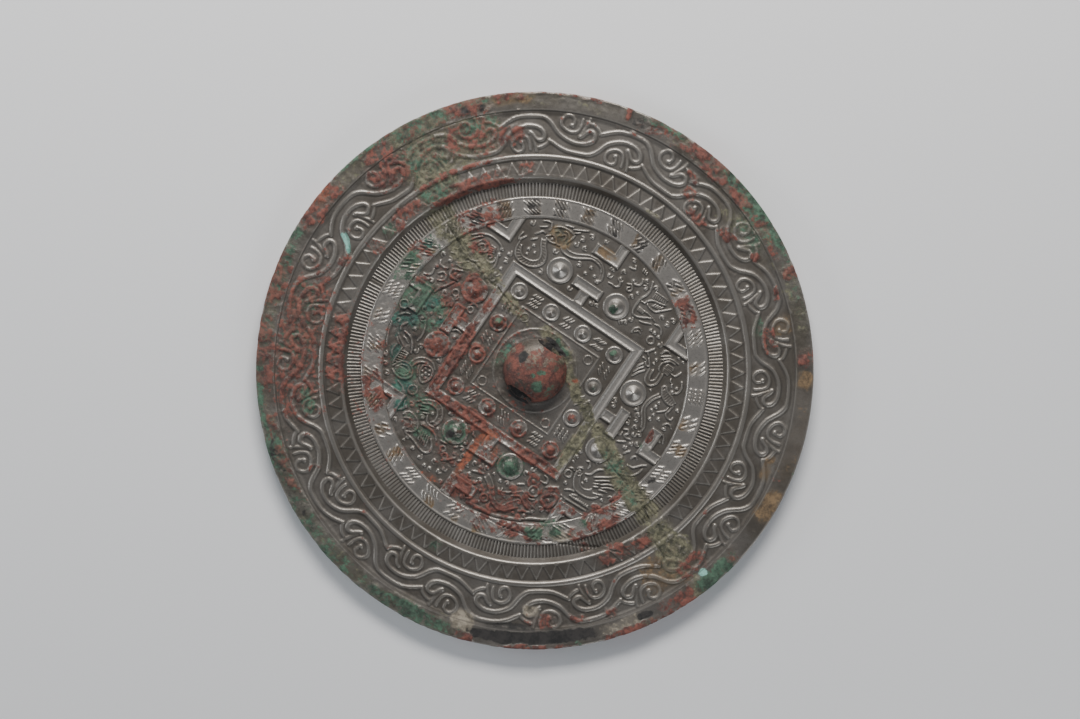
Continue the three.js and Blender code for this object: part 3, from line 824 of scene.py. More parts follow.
# %% Rows of strokes in place of writing
SIGN_STROKE = 0.72
SIGN_HEIGHT = 0.42
SIGN_ROWS = ((2, 3), (2, 4), (2, 3), (3, 4))  # rows, and strokes in each
SIGN_TILTS = (-52, -40, 40, 52)


def draw_sign(ground, x, y, lean, wide, tall, draws):
    """Two or three rows of short parallel strokes round (x, y). lean turns the sign, in degrees."""
    rows, columns = draws.choice(SIGN_ROWS)
    tilt = math.radians(draws.choice(SIGN_TILTS))
    c, s = math.cos(math.radians(lean)), math.sin(math.radians(lean))
    for row in range(rows):
        for column in range(columns):
            across = wide * ((column + 0.5) / columns - 0.5) + draws.uniform(-0.15, 0.15)
            up = tall * ((row + 0.5) / rows - 0.5)
            half = tall / rows * draws.uniform(0.32, 0.47)
            ends = [(across + end * half * math.cos(tilt), up + end * half * math.sin(tilt))
                    for end in (-1, 1)]
            chain = [(x + u * c - v * s, y + u * s + v * c) for u, v in ends]
            draw(ground, chain, SIGN_STROKE, SIGN_HEIGHT, 0.2)


WRITING_MIDDLE = 0.585 * RADIUS
WRITING_PROFILE = [(WRITING_INNER - 0.9, FIELD_GROUND - 1.0), (WRITING_INNER - 0.1, FIELD_GROUND),
                   (WRITING_INNER + 0.45, WRITING_TOP + 0.12), (WRITING_INNER + 0.9, WRITING_TOP),
                   (WRITING_OUTER - 1.1, WRITING_TOP), (WRITING_OUTER - 0.7, WRITING_TOP + 0.2),
                   (WRITING_OUTER - 0.4, WRITING_TOP + 0.2), (WRITING_OUTER + 0.15, COMB_GROUND),
                   (WRITING_OUTER + 0.6, COMB_GROUND - 1.0)]


def writing_base(x, y):
    return np.interp(np.hypot(x, y), *zip(*WRITING_PROFILE))


def draw_writing(ground):
    draws = random.Random(7)
    for sign in range(SIGNS):
        turn = SIGN_FIRST + sign * 360 / SIGNS + draws.uniform(-0.8, 0.8)
        x = WRITING_MIDDLE * math.cos(math.radians(turn))
        y = WRITING_MIDDLE * math.sin(math.radians(turn))
        draw_sign(ground, x, y, turn - 90, draws.uniform(5.0, 6.2), draws.uniform(5.6, 6.4), draws)


writing_band = closed_ring("writing_band", WRITING_INNER - 0.9, WRITING_OUTER + 0.6, 0.29, 1400)
carve(writing_band, writing_base, draw_writing, 0.85)

# %% [markdown]
# ## The field and the square
#
# Inside the writing lies the field with its T, L and V shapes, and in it the raised square. Both are
# patches of the same square grid, 0.27 mm fine. The grid is cut to the patch, its border is extruded
# down into the plate and closed below.

# %% Patches of square grid
GRID_STEP = 0.27
FRAME_OUTER = 29.2
FRAME_INNER = 25.3
FRAME_TOP = 3.35
HOLLOW_DEPTH = 0.42
PATCH_EDGE = GRID_STEP * round((FRAME_OUTER + 0.2) / GRID_STEP)
FIELD_HALF = GRID_STEP * math.ceil(WRITING_INNER / GRID_STEP)


def closed_patch(name, half, keep):
    """A flat patch of grid where keep(x, y) holds, closed below at the buried height."""
    shape = bmesh.new()
    cells = round(2 * half / GRID_STEP)
    bmesh.ops.create_grid(shape, x_segments=cells, y_segments=cells, size=half)
    centres = [(face, face.calc_center_median()) for face in shape.faces]
    outside = [face for face, centre in centres if not keep(centre.x, centre.y)]
    bmesh.ops.delete(shape, geom=outside, context="FACES")
    bmesh.ops.translate(shape, verts=shape.verts, vec=(0, 0, FIELD_GROUND))
    rims = extrude_border(shape)
    bmesh.ops.triangle_fill(shape, edges=rims, use_beauty=False, use_dissolve=False)
    return mesh_from(shape, name)


# %% [markdown]
# ## Hollowed bars, bosses and rings
#
# The square, the T, the L and the V are all bars with a hollowed top: sharp at both edges and lower in
# the middle. The round bosses stand in dished seats. Each is drawn from how deep a place lies inside the
# shape's outline.

# %% Bars and bosses
BAR_RISE = FRAME_TOP - FIELD_GROUND
FIELD_REACH = WRITING_INNER + 0.5


def depth_inside(x, y, corners):
    """How deep each place lies inside a polygon, negative outside."""
    chain = np.array(list(corners) + [corners[0]], float)
    gap, _ = gap_to_chain(x, y, chain)
    inside = np.zeros(len(x), bool)
    for (ax, ay), (cx, cy) in zip(chain, chain[1:]):
        if ay != cy:
            inside ^= ((ay > y) != (cy > y)) & (x < (cx - ax) * (y - ay) / (cy - ay) + ax)
    return np.where(inside, gap, -gap)


def hollow(depth):
    """The height of a bar at some depth inside its outline."""
    return BAR_RISE * smoothstep(depth, -0.15, 0.2) - HOLLOW_DEPTH * smoothstep(depth, 0.25, 1.5)


def quarter_turns(corners, turn):
    """Plan points turned clockwise by some quarters, from the upper side to another."""
    for _ in range(turn):
        corners = [(y, -x) for x, y in corners]
    return corners


def draw_bar(ground, corners):
    area = np.array(corners, float)
    some = ground.near(area, 1.0)
    depth = depth_inside(ground.x[some], ground.y[some], corners)
    ground.lift(some, hollow(depth))
    ground.polish[some] = np.maximum(ground.polish[some], 0.8 * smoothstep(depth, 0.0, 0.6))


def draw_boss(ground, x, y, seat, cone, height):
    """A pointed boss in a dished seat."""
    some = ground.near(np.array([(x, y)]), seat + 1)
    away = np.hypot(ground.x[some] - x, ground.y[some] - y)
    rim = 0.52
    profile = [(0, rim + height), (0.25, rim + 0.93 * height), (cone * 0.45, rim + 0.52 * height),
               (cone * 0.8, rim + 0.12 * height), (cone, rim - 0.27), (cone + 0.5, rim - 0.3),
               (seat - 0.5, rim - 0.05), (seat - 0.15, rim), (seat + 0.2, 0.0)]
    ground.lift(some, np.interp(away, *zip(*profile)))
    ground.polish[some] = np.maximum(ground.polish[some], 0.7 * (away < seat))


def draw_ring(ground, x, y, radius, width=0.5, height=0.35):
    turn = np.radians(np.linspace(0, 360, 25))
    draw(ground, np.stack([x + radius * np.cos(turn), y + radius * np.sin(turn)], 1), width, height)


# %% The T, L and V shapes and the big bosses
T_LEFT, T_RIGHT = -6.8, 4.9
T_LOW, T_HIGH = 33.8, 38.0
STEM_LEFT, STEM_RIGHT = -3.0, 1.1
L_LEFT, L_RIGHT = -7.0, 4.4
L_LOW, L_HIGH = 47.7, 51.9
L_LEG = 0.4
V_NEAR, V_FAR = 34.0, 37.9

BIG_BOSSES = [(-13.0, 35.7), (11.6, 36.2), (34.6, 13.3), (35.7, -11.0), (12.1, -34.4), (-11.8, -34.9),
              (-35.3, -12.2), (-34.9, 12.1)]
T_BAR = [(T_LEFT, T_LOW), (T_RIGHT, T_LOW), (T_RIGHT, T_HIGH), (T_LEFT, T_HIGH)]
T_STEM = [(STEM_LEFT, FRAME_OUTER - 0.3), (STEM_RIGHT, FRAME_OUTER - 0.3), (STEM_RIGHT, T_LOW + 0.2),
          (STEM_LEFT, T_LOW + 0.2)]
L_SHAPE = [(L_LEFT, L_LOW), (L_RIGHT, L_LOW), (L_RIGHT, FIELD_REACH), (L_LEG, FIELD_REACH), (L_LEG, L_HIGH),
           (L_LEFT, L_HIGH)]
V_SHAPE = [(V_NEAR, V_NEAR), (V_NEAR, FIELD_REACH), (V_FAR, FIELD_REACH), (V_FAR, V_FAR),
           (FIELD_REACH, V_FAR), (FIELD_REACH, V_NEAR)]
print("T, L and V shapes, and", len(BIG_BOSSES), "big bosses")


def draw_tlv(ground):
    for turn in range(4):
        for corners in (T_STEM, T_BAR, L_SHAPE, V_SHAPE):
            draw_bar(ground, quarter_turns(corners, turn))
    for x, y in BIG_BOSSES:
        draw_boss(ground, x, y, 4.8, 2.9, 1.9)


# %% [markdown]
# ## The creatures
#
# Dragon, tiger, bird and their company fill the field, drawn in the thin threads of the mould cutter. The
# real ones could be sculpted, but a list of strokes keeps them as what they are: line work. A body lies
# between two outlines, with rungs across it. A thread is one line, a fan is hatching between two guides,
# and rings, dots and curls are the small clouds. Every stroke is a row of x and y in turn, in mm.

# %% Bodies: how many rungs, one outline, the other outline
BODIES = [
    # dragon
    (20, (-23.5, 42.5, -22.3, 40, -20.8, 38.3, -19.8, 36.5, -19.6, 34.5, -20.8, 32.2, -23, 30.7, -25.5,
    30.2, -28, 30.3, -30, 31.8, -31, 34, -31.2, 36.5), (-24.8, 41.5, -24, 39.8, -22.3, 37.5, -21.6, 35.5,
    -22, 34, -23.5, 32.8, -25.5, 32.3, -27.5, 32.4, -29, 33.6, -29.8, 35.5)), (0, (-16.5, 44.5, -15, 43.5,
    -12.4, 43.6, -10, 44.6, -7.5, 46, -5.3, 46.5, -3.4, 46.6, -1.3, 46, 0.4, 44.6, 1.4, 42.7, 1.6, 40.9,
    0.6, 39.7), (-17.5, 43, -15.9, 41.9, -13.8, 41.7, -11.6, 42.1, -9.4, 43.3, -7.2, 44.7, -5.3, 45.6, -2.8,
    45.5, -0.8, 44.8, 0.2, 43.4)),
    # tiger
    (0, (39.7, 25.3, 39.9, 22.8, 39.6, 20.8, 38.5, 19.3, 37.2, 18.8, 35.9, 19.4, 35.1, 20.6, 34.7, 22.5,
    34.6, 24.3), (38.4, 25, 38.6, 23, 38.2, 21.4, 37.2, 20.6, 36.5, 21.2, 36.1, 22.6, 36, 24.5)), (8, (42.9,
    20, 44.2, 18.3, 46.3, 17.2, 48.4, 17.1, 49.3, 17.9), (43.5, 21.8, 45.2, 20.6, 47.2, 20, 49.5, 18.9)),
    (0, (43.6, 17.8, 42.2, 15.8, 41.4, 13.6, 41.3, 11.5, 42.1, 9.8, 43.3, 8.2, 44.4, 6.4, 45, 4.6, 44.7,
    2.9), (42.6, 18.2, 41.3, 16.2, 40.5, 13.8, 40.4, 11.4, 41.2, 9.2, 42.4, 7.6, 43.5, 5.9, 44.1, 4.4)),
    # bird
    (0, (33.6, -23.2, 34.4, -25.2, 35.6, -27, 36.9, -28.1, 39, -28.4, 41.6, -28.2, 43.8, -27.2, 45.2,
    -25.6), (35.4, -22.7, 36.4, -24.6, 37.8, -25.9, 39.4, -26.1, 40.8, -25.5, 41.6, -24.6)),
    # serpent
    (0, (7.2, -41.2, 9.2, -42.2, 11.2, -43.9, 12.6, -45.9, 14.2, -47.6, 16.3, -48.3, 18.2, -47.4, 19.4,
    -45.4, 21, -43.5), (6.6, -42.9, 9, -44.3, 10.9, -46, 12.6, -48, 14.6, -49.4, 17, -49.9, 19.4, -49, 21,
    -47.2, 22.8, -45.4)), (0, (18.4, -42, 20, -40.4, 21.2, -39.4, 22.8, -40.2, 24.4, -41.2, 26.2, -41.7,
    28.4, -42.2), (18.6, -43, 21, -41.5, 23, -42.3, 25, -43.3, 28.2, -43.8, 26.6, -44.9)),
    # crested beast
    (8, (-29.5, -33.6, -27.5, -31.6, -25, -30.3, -22.5, -29.9, -20.3, -30.9, -18.8, -33, -18.6, -35.4,
    -19.3, -37.4), (-27.6, -33.2, -25.6, -32, -23.5, -31.7, -21.5, -32.3, -20.4, -34, -20.3, -36, -21.1,
    -37.2)), (6, (-31.2, -39.4, -29.6, -38.2, -27.4, -38.5, -25.2, -39.7, -24, -41.8, -24.8, -43.8, -26.8,
    -45), (-30.2, -41.2, -28.4, -40.4, -27, -41, -26.4, -42.4, -27.2, -43.6)),
    # turtle
    (0, (-39.7, -24, -39.1, -21.4, -37.3, -19.4, -34.8, -18.6, -32.4, -18.9, -30.7, -20.3), (-38.2, -23.6,
    -37.4, -21.6, -35.8, -20.4, -33.8, -20.1)), (0, (-44.4, -27.6, -42.6, -24.6, -39.6, -23.9, -37.2, -25.2,
    -36.7, -27.6, -38.5, -29.6, -41.4, -29.9, -43.8, -28.9), (-43.2, -27.4, -42, -25.6, -39.8, -25, -38.2,
    -26, -38, -27.4, -39.2, -28.6, -41.2, -28.8, -42.9, -28)),
    # horned beast
    (5, (-44, 26.6, -43.2, 28.6, -41.6, 29.4, -39.9, 28.8, -39, 27.2, -39.8, 25.6, -41.2, 24.8), (-43, 26.4,
    -42.3, 27.6, -41.4, 28, -40.5, 27.4, -40.3, 26.4, -41, 25.6)), (0, (-46.2, 16.8, -44.4, 17.8, -42.8,
    19.4, -41.2, 19.4, -40.2, 18.6), (-45.6, 16.2, -43.6, 16.2, -41.8, 16.9, -40.4, 17.8)),
]

# %% Threads: width, points
THREADS = [
    # dragon
    (0.9, -23.4, 47.7, -21.9, 49, -19.7, 49.7, -17.5, 49.7, -15.9, 49.3), (0.8, -15.4, 49.3, -15.9, 47.4,
    -16.5, 45.2), (0.8, -22.2, 46.5, -21.3, 47.3, -20.2, 47, -20.6, 45.8), (0.8, -19.8, 46.2, -18.9, 47.4,
    -17.8, 47, -17.9, 45.6), (0.7, -19.5, 48.3, -18.6, 48.8, -17.4, 48.2, -16.7, 47.4), (0.8, -24.3, 43.3,
    -22.4, 44.9, -20.8, 44.5, -19.2, 43, -17.8, 43.4), (0.7, -24.2, 43, -22.5, 42.4, -20.6, 42.6, -19.4,
    43.2), (0.9, -20.4, 50.6, -17.5, 51.6), (0.7, -17, 50.9, -12.1, 53.6), (0.6, -16, 50, -14.3, 51.3),
    (0.8, -24.3, 45.7, -24.3, 47.1, -25.1, 48.4, -26.8, 48.2, -28.1, 47.4), (0.8, -27.9, 41.8, -26.9, 43.3,
    -26.2, 44.1, -24.9, 44), (0.8, -26.5, 40.8, -28.1, 39.2), (0.7, -25.7, 46.5, -27.9, 44.9), (0.8, -30.2,
    39.2, -31.1, 37.9, -31.7, 36.8, -32.3, 38.1, -32, 39.6),
    # winged creature
    (0.9, 17.8, 51.2, 18.4, 49.8, 18.8, 47.9, 18.4, 45.7, 17.6, 44.1, 17.3, 41.9, 17.3, 39.8, 17.7, 38.1,
    18.7, 37.3, 20, 37.4, 21.6, 38.1, 23.5, 39.2, 24.6, 39.6), (0.8, 20.8, 48.7, 26.1, 48.6), (0.8, 19.5,
    43.1, 20.3, 44.6, 21.6, 45.5, 23.5, 45.9, 25.4, 46.3, 26.5, 46.8), (0.8, 20.6, 43.3, 22.2, 42.6, 24.4,
    42.5, 25.4, 43.3, 29, 46.7), (0.7, 18.2, 43, 19.7, 43), (0.7, 21.1, 40.6, 23.6, 40.4, 26.8, 39.6), (0.8,
    21.6, 36.6, 23, 36.8, 24.3, 37.4, 26, 38), (0.8, 27.1, 38.7, 28.9, 38.9, 30.4, 38.2, 31, 36.8), (0.8,
    21.6, 31.4, 21.6, 33.2, 22.8, 34.4, 24.3, 34.2), (0.7, 22.2, 32.2, 23.2, 33.2, 24.6, 33), (0.6, 12.7,
    52.2, 12.5, 53.4), (0.6, 13.4, 52.1, 13.3, 53.3), (0.6, 14.1, 51.9, 14.2, 53), (0.6, 15.2, 32.6, 16.1,
    31.6), (0.6, 15.9, 33.1, 16.8, 32.1), (0.8, 7.8, 51, 9, 51.1, 9.9, 51.7, 9.3, 52.6), (0.8, 12.8, 46.6,
    14.2, 47.4, 14.7, 48.8, 14.2, 50), (0.9, 4.4, 41.9, 5.8, 42.2, 7, 42, 8.2, 43, 8, 44.4, 7, 44.8), (0.8,
    11.9, 44.9, 11.1, 44.2, 11.6, 43.4, 12.6, 43.7, 12.8, 45, 11.8, 46, 10.4, 45.4),
    # tiger
    (1, 35.1, 31, 35.6, 32.6, 36.6, 33.1, 37.4, 33.1), (1, 35.6, 30.2, 36.8, 31, 38, 31.9, 38.9, 32.3),
    (0.9, 36.4, 29.3, 37.6, 30.3, 38.6, 31.1, 40.2, 31.5, 42.5, 31.4), (0.9, 37.6, 28.8, 38.4, 29.8, 39.5,
    30.5, 41.4, 30.6), (0.8, 37.3, 28.4, 37.2, 27, 37.7, 25.8, 38.6, 25.2), (0.8, 33.4, 22.6, 32, 21, 31.2,
    19.6, 30.7, 18.3), (0.8, 32.3, 23.4, 31, 21.6, 30.3, 19.8), (0.8, 31.5, 24.4, 30.6, 23, 30.3, 21.8),
    (0.9, 29.2, 28.3, 30.4, 28.8, 31.2, 30.1, 32.1, 31.2), (0.7, 30.6, 28.5, 31.9, 27.8), (0.8, 30.2, 26.3,
    31.9, 26.1), (0.8, 32.2, 27.2, 33.4, 25.9, 34.3, 24.6), (0.7, 31.8, 25.4, 33, 24.4, 33.9, 24.7), (0.8,
    42.2, 27, 43.7, 26.9, 44.5, 28.2, 45, 29.3), (0.8, 43.2, 25.2, 43.8, 24.3), (0.8, 44.6, 24, 45.2, 22.9),
    (0.9, 47.2, 26.6, 48.2, 25.4, 48.4, 23.6, 47.8, 22, 46.4, 21.4), (0.8, 49.5, 17.6, 49.2, 15.5, 48.8,
    13.8, 50, 12.7, 51.4, 12.7, 51.8, 13.8), (0.7, 48.4, 16, 48, 14.6, 46.8, 13.3, 45.6, 12.3), (0.8, 50.3,
    9.9, 51.2, 10.9, 52.6, 11, 53.4, 10.2), (0.7, 51.6, 7, 53.2, 5.8, 54, 3.8), (0.8, 39.4, -4.7, 41, -3.8,
    42.2, -3), (0.8, 44, -7.2, 44.7, -5.9, 45.6, -5), (0.9, 39.2, 0.4, 40.6, 1, 41.4, 0, 40.6, -1.2, 41.6,
    -1.9, 43.2, -1.4),
    # bird
    (1, 33.2, -21, 33.9, -20.2, 34.8, -19.9), (0.7, 33.4, -22.1, 34.2, -23.2, 35.2, -23, 35.6, -21.8), (0.9,
    36.7, -21.1, 38.2, -20.3, 38.9, -18.6, 39.8, -17.2, 41.3, -16.2), (0.9, 40, -20.4, 42.2, -18.9, 44.6,
    -17.3, 46.8, -15.4), (0.8, 41, -21.4, 43.2, -19.8, 45.5, -18.4), (0.8, 41.2, -22.5, 43, -21.4), (0.8,
    41.6, -23.5, 43.2, -22.6), (0.8, 43.6, -21.4, 45.4, -20, 47.8, -19.1), (0.8, 44.3, -22.3, 46.2, -21,
    48.7, -20.1), (0.8, 44, -23.4, 45.4, -22.8, 46.8, -22.4), (0.9, 42.8, -25.6, 44.8, -24.9, 46.3, -24.3),
    (0.8, 30.5, -22.6, 31.6, -22, 32.6, -22.4), (0.8, 33.6, -30.2, 34.8, -29.3, 36.6, -28.8), (0.7, 36.6,
    -30.2, 38.6, -29.6), (0.8, 36.2, -30.9, 38, -31.1, 41, -30.8, 44.4, -31), (0.9, 33.6, -32.6, 36, -32.8,
    40, -32.6, 44.2, -32.4), (0.8, 34.4, -17, 35.5, -16.7, 36.4, -17.6, 36.3, -19), (0.8, 53.6, -6, 52,
    -7.1, 50.8, -8.4, 49.6, -9.6, 47.6, -9.8), (0.7, 53, -8.2, 52.4, -10.2, 51, -12.2, 48.8, -13.4, 47,
    -14), (0.8, 47.4, -7.2, 47.7, -6.1, 48.6, -5.6, 49.4, -6.3),
    # serpent
    (1, 28.4, -43, 26.6, -44.8, 25, -45.3, 23.8, -46.4), (0.8, 15.2, -43.7, 16.6, -42.8, 17.8, -41.9), (0.9,
    23, -39.9, 24.8, -40.3, 26.4, -39.5), (1.5, 28.1, -37.3, 29.6, -35.2, 31.6, -34.1, 33, -35, 33, -36.9,
    32.2, -38.8, 30.4, -39.2, 28.8, -38.4, 28.1, -37.3), (1.4, 27.6, -33.3, 29, -32.1, 31.2, -30.8), (1.2,
    20.6, -33.6, 20.8, -35.2, 21.8, -36.4), (0.9, 18, -38.3, 19.2, -37.4, 20.2, -36.9), (0.8, 5, -53.2, 6.8,
    -51.9), (1.6, 7.4, -54, 12, -53.2, 16.5, -52.7, 20.5, -51.1, 24, -49.6, 26, -48.6), (1.2, 26.5, -48, 29,
    -46, 33, -43.8, 36, -41, 38.5, -38.6), (1, 13.4, -49.6, 13.6, -51.4, 15.4, -52.2), (1, 1.6, -43.4, 3,
    -42.8, 5.6, -42), (0.9, 24.6, -30, 26.4, -30.6, 26.4, -32.2, 24.4, -32.6),
    # crested beast
    (0.7, -28.2, -34.6, -26.2, -33.6), (0.7, -27, -35.3, -24.6, -34.2), (0.7, -25.6, -36, -23.4, -34.9),
    (0.8, -23.6, -35.6, -22.6, -37.6, -20.8, -38.3, -19, -38.1), (1, -23.4, -39.8, -20, -39.4, -17.2, -40.2,
    -15.6, -41.6), (1, -28.6, -43.4, -26.4, -45.6, -23, -46.2, -19.6, -47.4, -17, -47.8, -15.6, -46.4,
    -15.9, -44.2, -17.6, -42.4), (0.9, -14.4, -40.8, -12, -40.5), (0.9, -8.9, -40, -7.9, -39), (0.9, -10.2,
    -46.6, -8.4, -45.2, -6.4, -43), (0.9, -5, -43.4, -3.9, -42.6), (0.8, -6, -31.4, -5.6, -32.3, -4.6,
    -32.5), (1, -23, -42.4, -21, -43.8, -18.8, -44.8), (1, -33.4, -36, -32.4, -38.4, -33.8, -40),
    # turtle
    (0.9, -35.3, -21.6, -33.4, -20.5, -31.3, -20.9, -30.3, -23, -30.8, -25.4, -32, -26.9, -33.6, -26, -35,
    -24, -35.3, -21.6), (0.8, -36.4, -22.4, -35.8, -24, -34.8, -25.8), (0.8, -45.2, -20.4, -45.2, -24, -45,
    -27), (0.8, -42.2, -21, -42.3, -24), (0.9, -47.8, -14.8, -46, -15, -44.4, -15.6, -43, -16.8, -42, -18.4,
    -41.4, -20.2), (0.9, -49.2, -16.8, -47.6, -18, -46, -18.9, -44.8, -19.6), (0.8, -48.9, -18.2, -47,
    -19.6), (0.9, -46.8, -16.6, -45.6, -16.9, -44.5, -17.6), (0.8, -43.6, -7.4, -42.3, -9.6, -41.7, -12.2,
    -42, -15), (0.9, -33.4, -4.8, -32.6, -3.9, -31.6, -3.7, -30.4, -3.9), (1.1, -53.8, -14.5, -52.6, -18.6,
    -50.6, -22.4), (1, -49.6, -8.4, -51.6, -9.2, -53, -11), (0.9, -48.6, -11.4, -49.8, -13.4, -49.4, -15.2),
    (1.1, -39.4, -31.4, -37, -32.2, -35.6, -34), (0.9, -47.6, -20.6, -47.8, -23, -46.6, -24.8),
    # horned beast
    (1, -47.2, 28.4, -44.6, 30.6, -42, 31.8, -39.2, 32, -36.6, 31.4, -34.9, 30.4), (0.9, -46.6, 26.4, -45.2,
    28.6, -43.4, 30.2), (0.8, -36.9, 24.9, -36.3, 25.6, -37.2, 26.2, -38.2, 25.2, -37.6, 23.8, -36, 23.6,
    -35, 24.8, -35.2, 26.2), (0.8, -35, 27.4, -34.2, 25.6, -33.8, 23.6, -34.3, 21.6), (1, -47.6, 13.4, -49,
    12.8, -50.6, 13, -51.4, 14.2), (1, -42.4, 15.6, -43.8, 15, -45.8, 14, -45.9, 12.2, -44.4, 11.2, -42,
    11.6), (1, -49.6, 9.8, -48, 11.2, -46.4, 10.4, -46.6, 8.6, -48.4, 7.6), (1, -42.8, 10.4, -44.6, 7.6,
    -46, 5.6, -46.8, 3.4), (0.9, -33.2, 6.6, -32.6, 7.6, -31.4, 7.9, -30.4, 7.3), (0.9, -51.6, 10.2, -51.5,
    8.6, -52.5, 7.2, -53.9, 6.9), (0.9, -39.6, 22, -41.2, 20.8, -43.4, 20.6), (0.9, -46.8, 22.6, -45.4, 22,
    -44.8, 20.8), (0.9, -49.8, 18.8, -48, 19.4, -46.8, 18.4),
]
print(len(THREADS), "threads")

# %% Fans: how many threads, one guide, the other guide
FANS = [
    # winged creature
    (7, (20.7, 48.1, 26, 48.1), (20.7, 46.2, 23.5, 46.8, 26.2, 47.3)), (4, (22.2, 43.6, 25.6, 44.2), (22.8,
    44.8, 26.6, 45.6)), (5, (18.6, 39.6, 21, 39.4), (18.6, 40.9, 21.4, 40.6)),
    # tiger
    (6, (39.3, 29.4, 38.9, 27.4, 39.2, 25.6), (41.9, 29.4, 41.8, 27.4, 41.2, 25.5)),
    # bird
    (9, (36.8, -30.5, 44.2, -30.4), (37, -31.3, 44.4, -31.3)),
    # crested beast
    (5, (-22.8, -41.6, -18.2, -42.2), (-22, -45, -17.4, -45.8)),
    # turtle
    (6, (-44.9, -20.8, -45, -26.4), (-42.4, -20.4, -42.6, -25.6)), (5, (-42.9, -26.2, -42.8, -28), (-38.4,
    -26.2, -39.4, -28.6)),
    # horned beast
    (4, (-39, 29.6, -38.3, 26.2), (-37.2, 29.6, -36.6, 27.2)),
]
print(len(FANS), "fans")

# %% Rings and dots: middle, radius. Curls: middle
RINGS = [
    # winged creature
    (29, 33, 1.3),
    # tiger
    (43.3, 21.1, 0.9), (31, -4.7, 0.8),
    # bird
    (31.3, -24.6, 1.3), (34.4, -21.7, 0.5),
    # serpent
    (24.4, -37.2, 1.9), (10.6, -49.3, 1.4),
    # crested beast
    (-12, -42.8, 1), (-10, -44.6, 1.1), (-33.3, -31, 1.7),
    # turtle
    (-53.6, -6.6, 1.6), (-49.4, -4.6, 1.5),
    # horned beast
    (-40.2, 7.4, 1.2), (-32.2, 5.2, 1.1),
]
DOTS = [
    # dragon
    (-21.8, 43.6, 0.6), (-26, 37.9, 0.7), (-26.9, 35.8, 0.7), (-24.3, 35.8, 0.5), (-26.5, 33.9, 0.5), (0.6,
    39.7, 0.9), (-1.2, 40.9, 0.6), (-4, 42.9, 0.8), (-4.6, 40, 0.8),
    # winged creature
    (22.4, 33.5, 0.6), (27.1, 36.1, 0.7), (28.8, 36, 0.9), (30.8, 35.6, 0.8), (15.4, 44.6, 0.6),
    # tiger
    (29.2, 24, 0.6), (29, 22.9, 0.5), (33.2, 30, 0.5), (34.9, 28.1, 0.7), (34.8, 26.5, 0.6), (43.5, 32.9,
    0.6), (41.3, 33.3, 0.6), (44.5, 15.5, 0.6), (44.4, 13.7, 0.9), (43.7, 11.9, 0.6), (45.2, 10.8, 0.6),
    (45, 8.8, 0.8), (47.7, 10.5, 0.8), (51.7, 17, 0.8), (39.3, 17.8, 0.5), (46.4, 21.5, 0.9), (47, 23.6,
    0.7),
    # bird
    (38.1, -22.9, 0.8), (37.6, -24.6, 0.5), (46.9, -25.8, 0.7), (32.4, -28, 0.8), (30.4, -19.8, 0.5), (44,
    -12, 0.9), (46.6, -11.6, 0.7),
    # serpent
    (24.2, -37.4, 0.8), (16.2, -44.6, 0.9), (12, -40.8, 0.8), (8.8, -39.9, 0.6), (11, -47, 0.8), (8, -47.8,
    0.6), (22.4, -47.9, 0.6), (9.7, -51.5, 0.7), (32.6, -40.4, 0.5), (26.4, -46.4, 0.9), (30.7, -36.8, 0.8),
    (22.4, -34.2, 0.9),
    # crested beast
    (-27.2, -36.7, 0.7), (-32.1, -37.4, 0.8), (-30.9, -39.9, 0.8), (-28, -44.4, 0.8), (-25.2, -46.6, 0.8),
    (-25.8, -48, 0.6), (-21.4, -48.8, 0.9), (-14.3, -51.6, 0.8), (-17.7, -37.8, 0.7), (-7.6, -42, 0.7),
    (-22.4, -34.2, 0.8),
    # turtle
    (-33.8, -21.9, 0.6), (-32, -21.8, 0.6), (-32.8, -23.4, 0.6), (-31.4, -23.2, 0.5), (-33.4, -24.8, 0.6),
    (-31.8, -24.9, 0.6), (-34.2, -23.3, 0.5), (-45.2, -11.9, 0.9), (-43.4, -3.9, 0.7), (-40.8, -6.3, 1.1),
    (-31.4, -6.4, 0.8), (-47, -10.2, 0.8),
    # horned beast
    (-34.9, 30.2, 0.8), (-34.7, 28, 0.8), (-31.4, 24, 0.7), (-31.1, 18.9, 0.6), (-45.8, 24.2, 0.8), (-43.2,
    23.4, 0.9), (-51.4, 11.6, 0.8), (-47.6, 9.2, 0.6), (-44.2, 13, 0.6),
]
